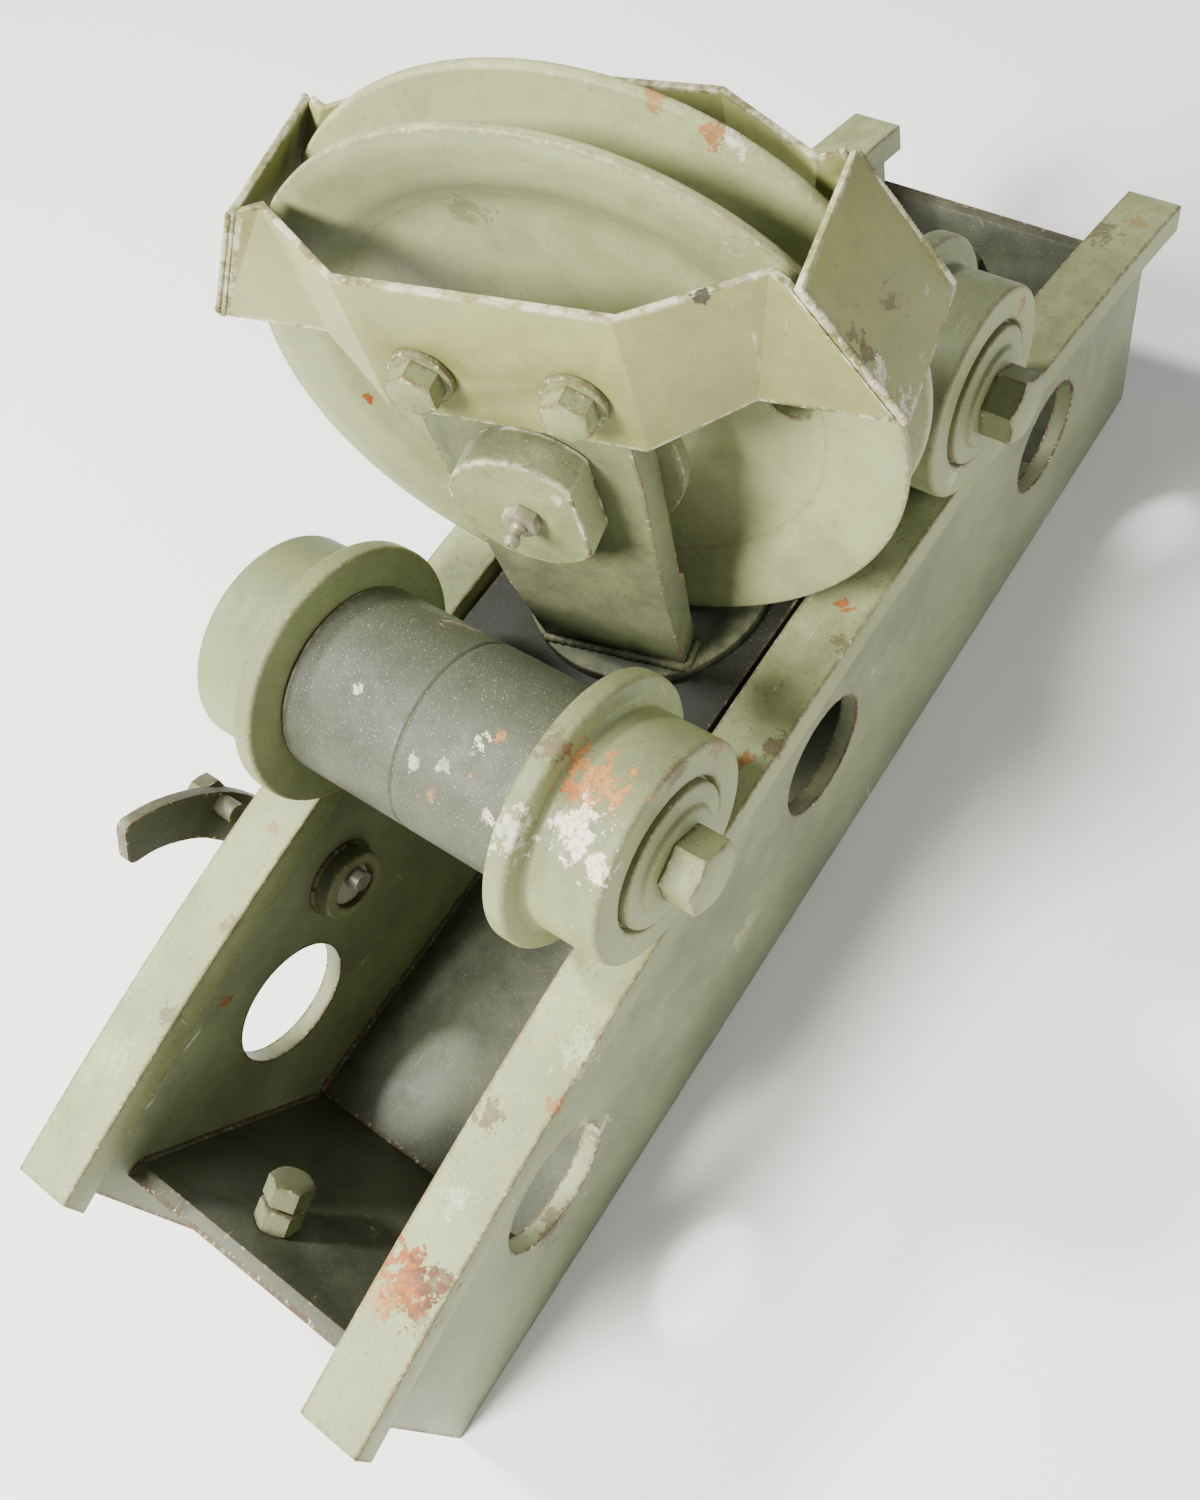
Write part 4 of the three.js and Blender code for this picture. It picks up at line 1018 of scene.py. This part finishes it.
def build_fork():
    plate = rounded_profile([
        (0, KINGPIN_END, 0),
        (KINGPIN, KINGPIN_END, 0.8),
        (KINGPIN, -1.4, 0),
        (TURNTABLE, -1.1, 0.5),
        (TURNTABLE, TABLE_TOP, 1.4),
        (0, TABLE_TOP, 0),
    ], closed=False)
    finish_piece("turntable_detail", to_mesh(lathe(plate, TABLE, closed=False)), "turntable")
    nut = hexagon_body(KING_NUT_FLATS, *KING_NUT, TABLE, chamfer_low=True, chamfer_high=False,
                       bore=KINGPIN + GAP)
    finish_piece("king_nut_detail", to_mesh(nut), "king_nut")
    disc = rounded_profile([
        (PIN + GAP, HUB_HALF + GAP, 0.4),
        (DISC, HUB_HALF + GAP, 1.0),
        (DISC, CHEEK_INNER - GAP, 1.0),
        (PIN + GAP, CHEEK_INNER - GAP, 0.4),
    ])
    for side, sign in SIDES.items():
        softened(side + "_cheek", 1.2, 25)
        made = lathe(disc, side_frame(sign), steps=128)
        finish_piece(side + "_thrust_disc_detail", to_mesh(made), side + "_thrust_disc")
        foot = [on_table(sign * FOOT_ACROSS, along) for along in FOOT_WELD]
        bead(side + "_foot_weld", foot, 3.6, "swivel", "fork_paint", seed=sign)
        for hand, end in (("right", -1), ("left", 1)):
            edge = [on_table(sign * across, end * FOOT_HALF) for across in FOOT_END_WELD]
            bead(f"{side}_{hand}_foot_weld", edge, 3.2, "swivel", "fork_paint", seed=sign + end)
    sheave_pin()
    grease_nipple()


GUARD_WELD_TOP = (29.6, 100.6, 93.4)    # across, along and up from the pin's axis
GUARD_WELD_FOOT = (29.8, 131.6, 41.5)


def fork_point(point, side, end):
    """A point of the fork, in metres, on the side and towards the end given by two signs."""
    across, along, up = point
    return FORK @ (Vector((side * across, end * along, up)) * MM)


def guard_bolt(name, where):
    face = GUARD_OUTER + GAP
    washer = rounded_profile([
        (GUARD_SHANK + GAP, face, 0.2),
        (WASHER, face, 0.4),
        (WASHER, face + WASHER_THICK, 0.7),
        (GUARD_SHANK + GAP, face + WASHER_THICK, 0.3),
    ])
    finish_piece(name + "_washer_detail", to_mesh(lathe(washer, where, steps=72)), name + "_washer")
    seat = face + WASHER_THICK + GAP
    head = hexagon_body(GUARD_FLATS, seat, seat + GUARD_HEAD, where)
    stem = shank(GUARD_SHANK, CHEEK_INNER + 1, seat + 0.5, where)
    finish_piece(name + "_bolt_detail", to_mesh(joined(head, stem)), name + "_bolt")


def build_guard():
    for side, sign in SIDES.items():
        softened(side + "_guard_plate", 0.55, 9, 2)
        for hand, along in GUARD_BOLTS.items():
            guard_bolt(f"{side}_{hand}_guard", side_frame(sign, along, GUARD_BOLT_UP))
    for hand, end in (("right", -1), ("left", 1)):
        softened(hand + "_guard_end", 0.6)
        for side, sign in SIDES.items():
            line = [fork_point(GUARD_WELD_TOP, sign, end), fork_point(GUARD_WELD_FOOT, sign, end)]
            bead(f"{side}_{hand}_guard_weld", line, 1.9, "swivel", "guard_paint", seed=sign + 2 * end)


def dress_shafts():
    """The axle shafts keep their CAD shape, inside the tubes."""
    for end in ENDS:
        node = end + "_axle_shaft"
        mesh = frame["nodes"][node].data
        mesh.materials.clear()
        mesh.materials.append(MATERIALS[SLOT_OF[node]])
        mesh.polygons.foreach_set("use_smooth", [True] * len(mesh.polygons))
        mesh.set_sharp_from_angle(angle=SMOOTH_UNDER)


build_frame()
build_stops()
build_lock()
build_carriage()
build_sheave()
build_fork()
build_guard()
dress_shafts()

# Stage, light and camera -------------------------------------------------------------------------

FLOOR_HALF, FLOOR_Z = 4.0, -0.0005
FLOOR_COLOUR = (0.95, 0.95, 0.94, 1)
SKY_COLOUR = (1.0, 1.0, 0.99, 1)
SKY_STRENGTH = 0.24
CAMERA_AT = (-0.2495, -0.2880, 0.7371)
CAMERA_TURN = (29.9, 10.6, -55.6)
SENSOR = 36
LENS = 34.498
SHIFT = (-0.0244, -0.0417)


def floor():
    nodes = Nodes("floor")
    nodes.shader.inputs["Base Color"].default_value = FLOOR_COLOUR
    nodes.shader.inputs["Roughness"].default_value = 0.9
    mesh = bpy.data.meshes.new("floor")
    corners = [(-FLOOR_HALF, -FLOOR_HALF), (FLOOR_HALF, -FLOOR_HALF), (FLOOR_HALF, FLOOR_HALF),
               (-FLOOR_HALF, FLOOR_HALF)]
    mesh.from_pydata([(x, y, FLOOR_Z) for x, y in corners], [], [(0, 1, 2, 3)])
    mesh.materials.append(nodes.material)
    ground = bpy.data.objects.new("floor", mesh)
    bpy.context.scene.collection.objects.link(ground)


def lamp(name, at, towards, size, power, colour):
    light = bpy.data.lights.new(name, "AREA")
    light.shape = "DISK"
    light.size = size
    light.energy = power
    light.color = colour
    holder = bpy.data.objects.new(name, light)
    holder.location = at
    holder.rotation_euler = (Vector(towards) - Vector(at)).to_track_quat("-Z", "Y").to_euler()
    bpy.context.scene.collection.objects.link(holder)


def world():
    sky = bpy.data.worlds.new("world")
    bpy.context.scene.world = sky
    sky.use_nodes = True
    background = sky.node_tree.nodes["Background"]
    background.inputs["Color"].default_value = SKY_COLOUR
    background.inputs["Strength"].default_value = SKY_STRENGTH


def camera():
    data = bpy.data.cameras.new("camera")
    data.sensor_fit = "VERTICAL"
    data.sensor_height = SENSOR
    data.lens = LENS
    data.shift_x, data.shift_y = SHIFT
    eye = bpy.data.objects.new("camera", data)
    eye.location = CAMERA_AT
    eye.rotation_euler = [math.radians(angle) for angle in CAMERA_TURN]
    bpy.context.scene.collection.objects.link(eye)
    bpy.context.scene.camera = eye


floor()
world()
lamp("key", at=(-1.7, 0.45, 1.9), towards=(0, 0, 0.15), size=0.8, power=168, colour=(1, 0.985, 0.95))
lamp("far", at=(-0.41, 1.42, 2.19), towards=(-0.235, 0.08, 0.09), size=0.35, power=80, colour=(1, 1, 0.98))
lamp("fill", at=(0.7, -2.2, 1.0), towards=(0, 0, 0.2), size=1.6, power=24, colour=(0.98, 0.99, 1))
camera()

bpy.context.view_layer.update()
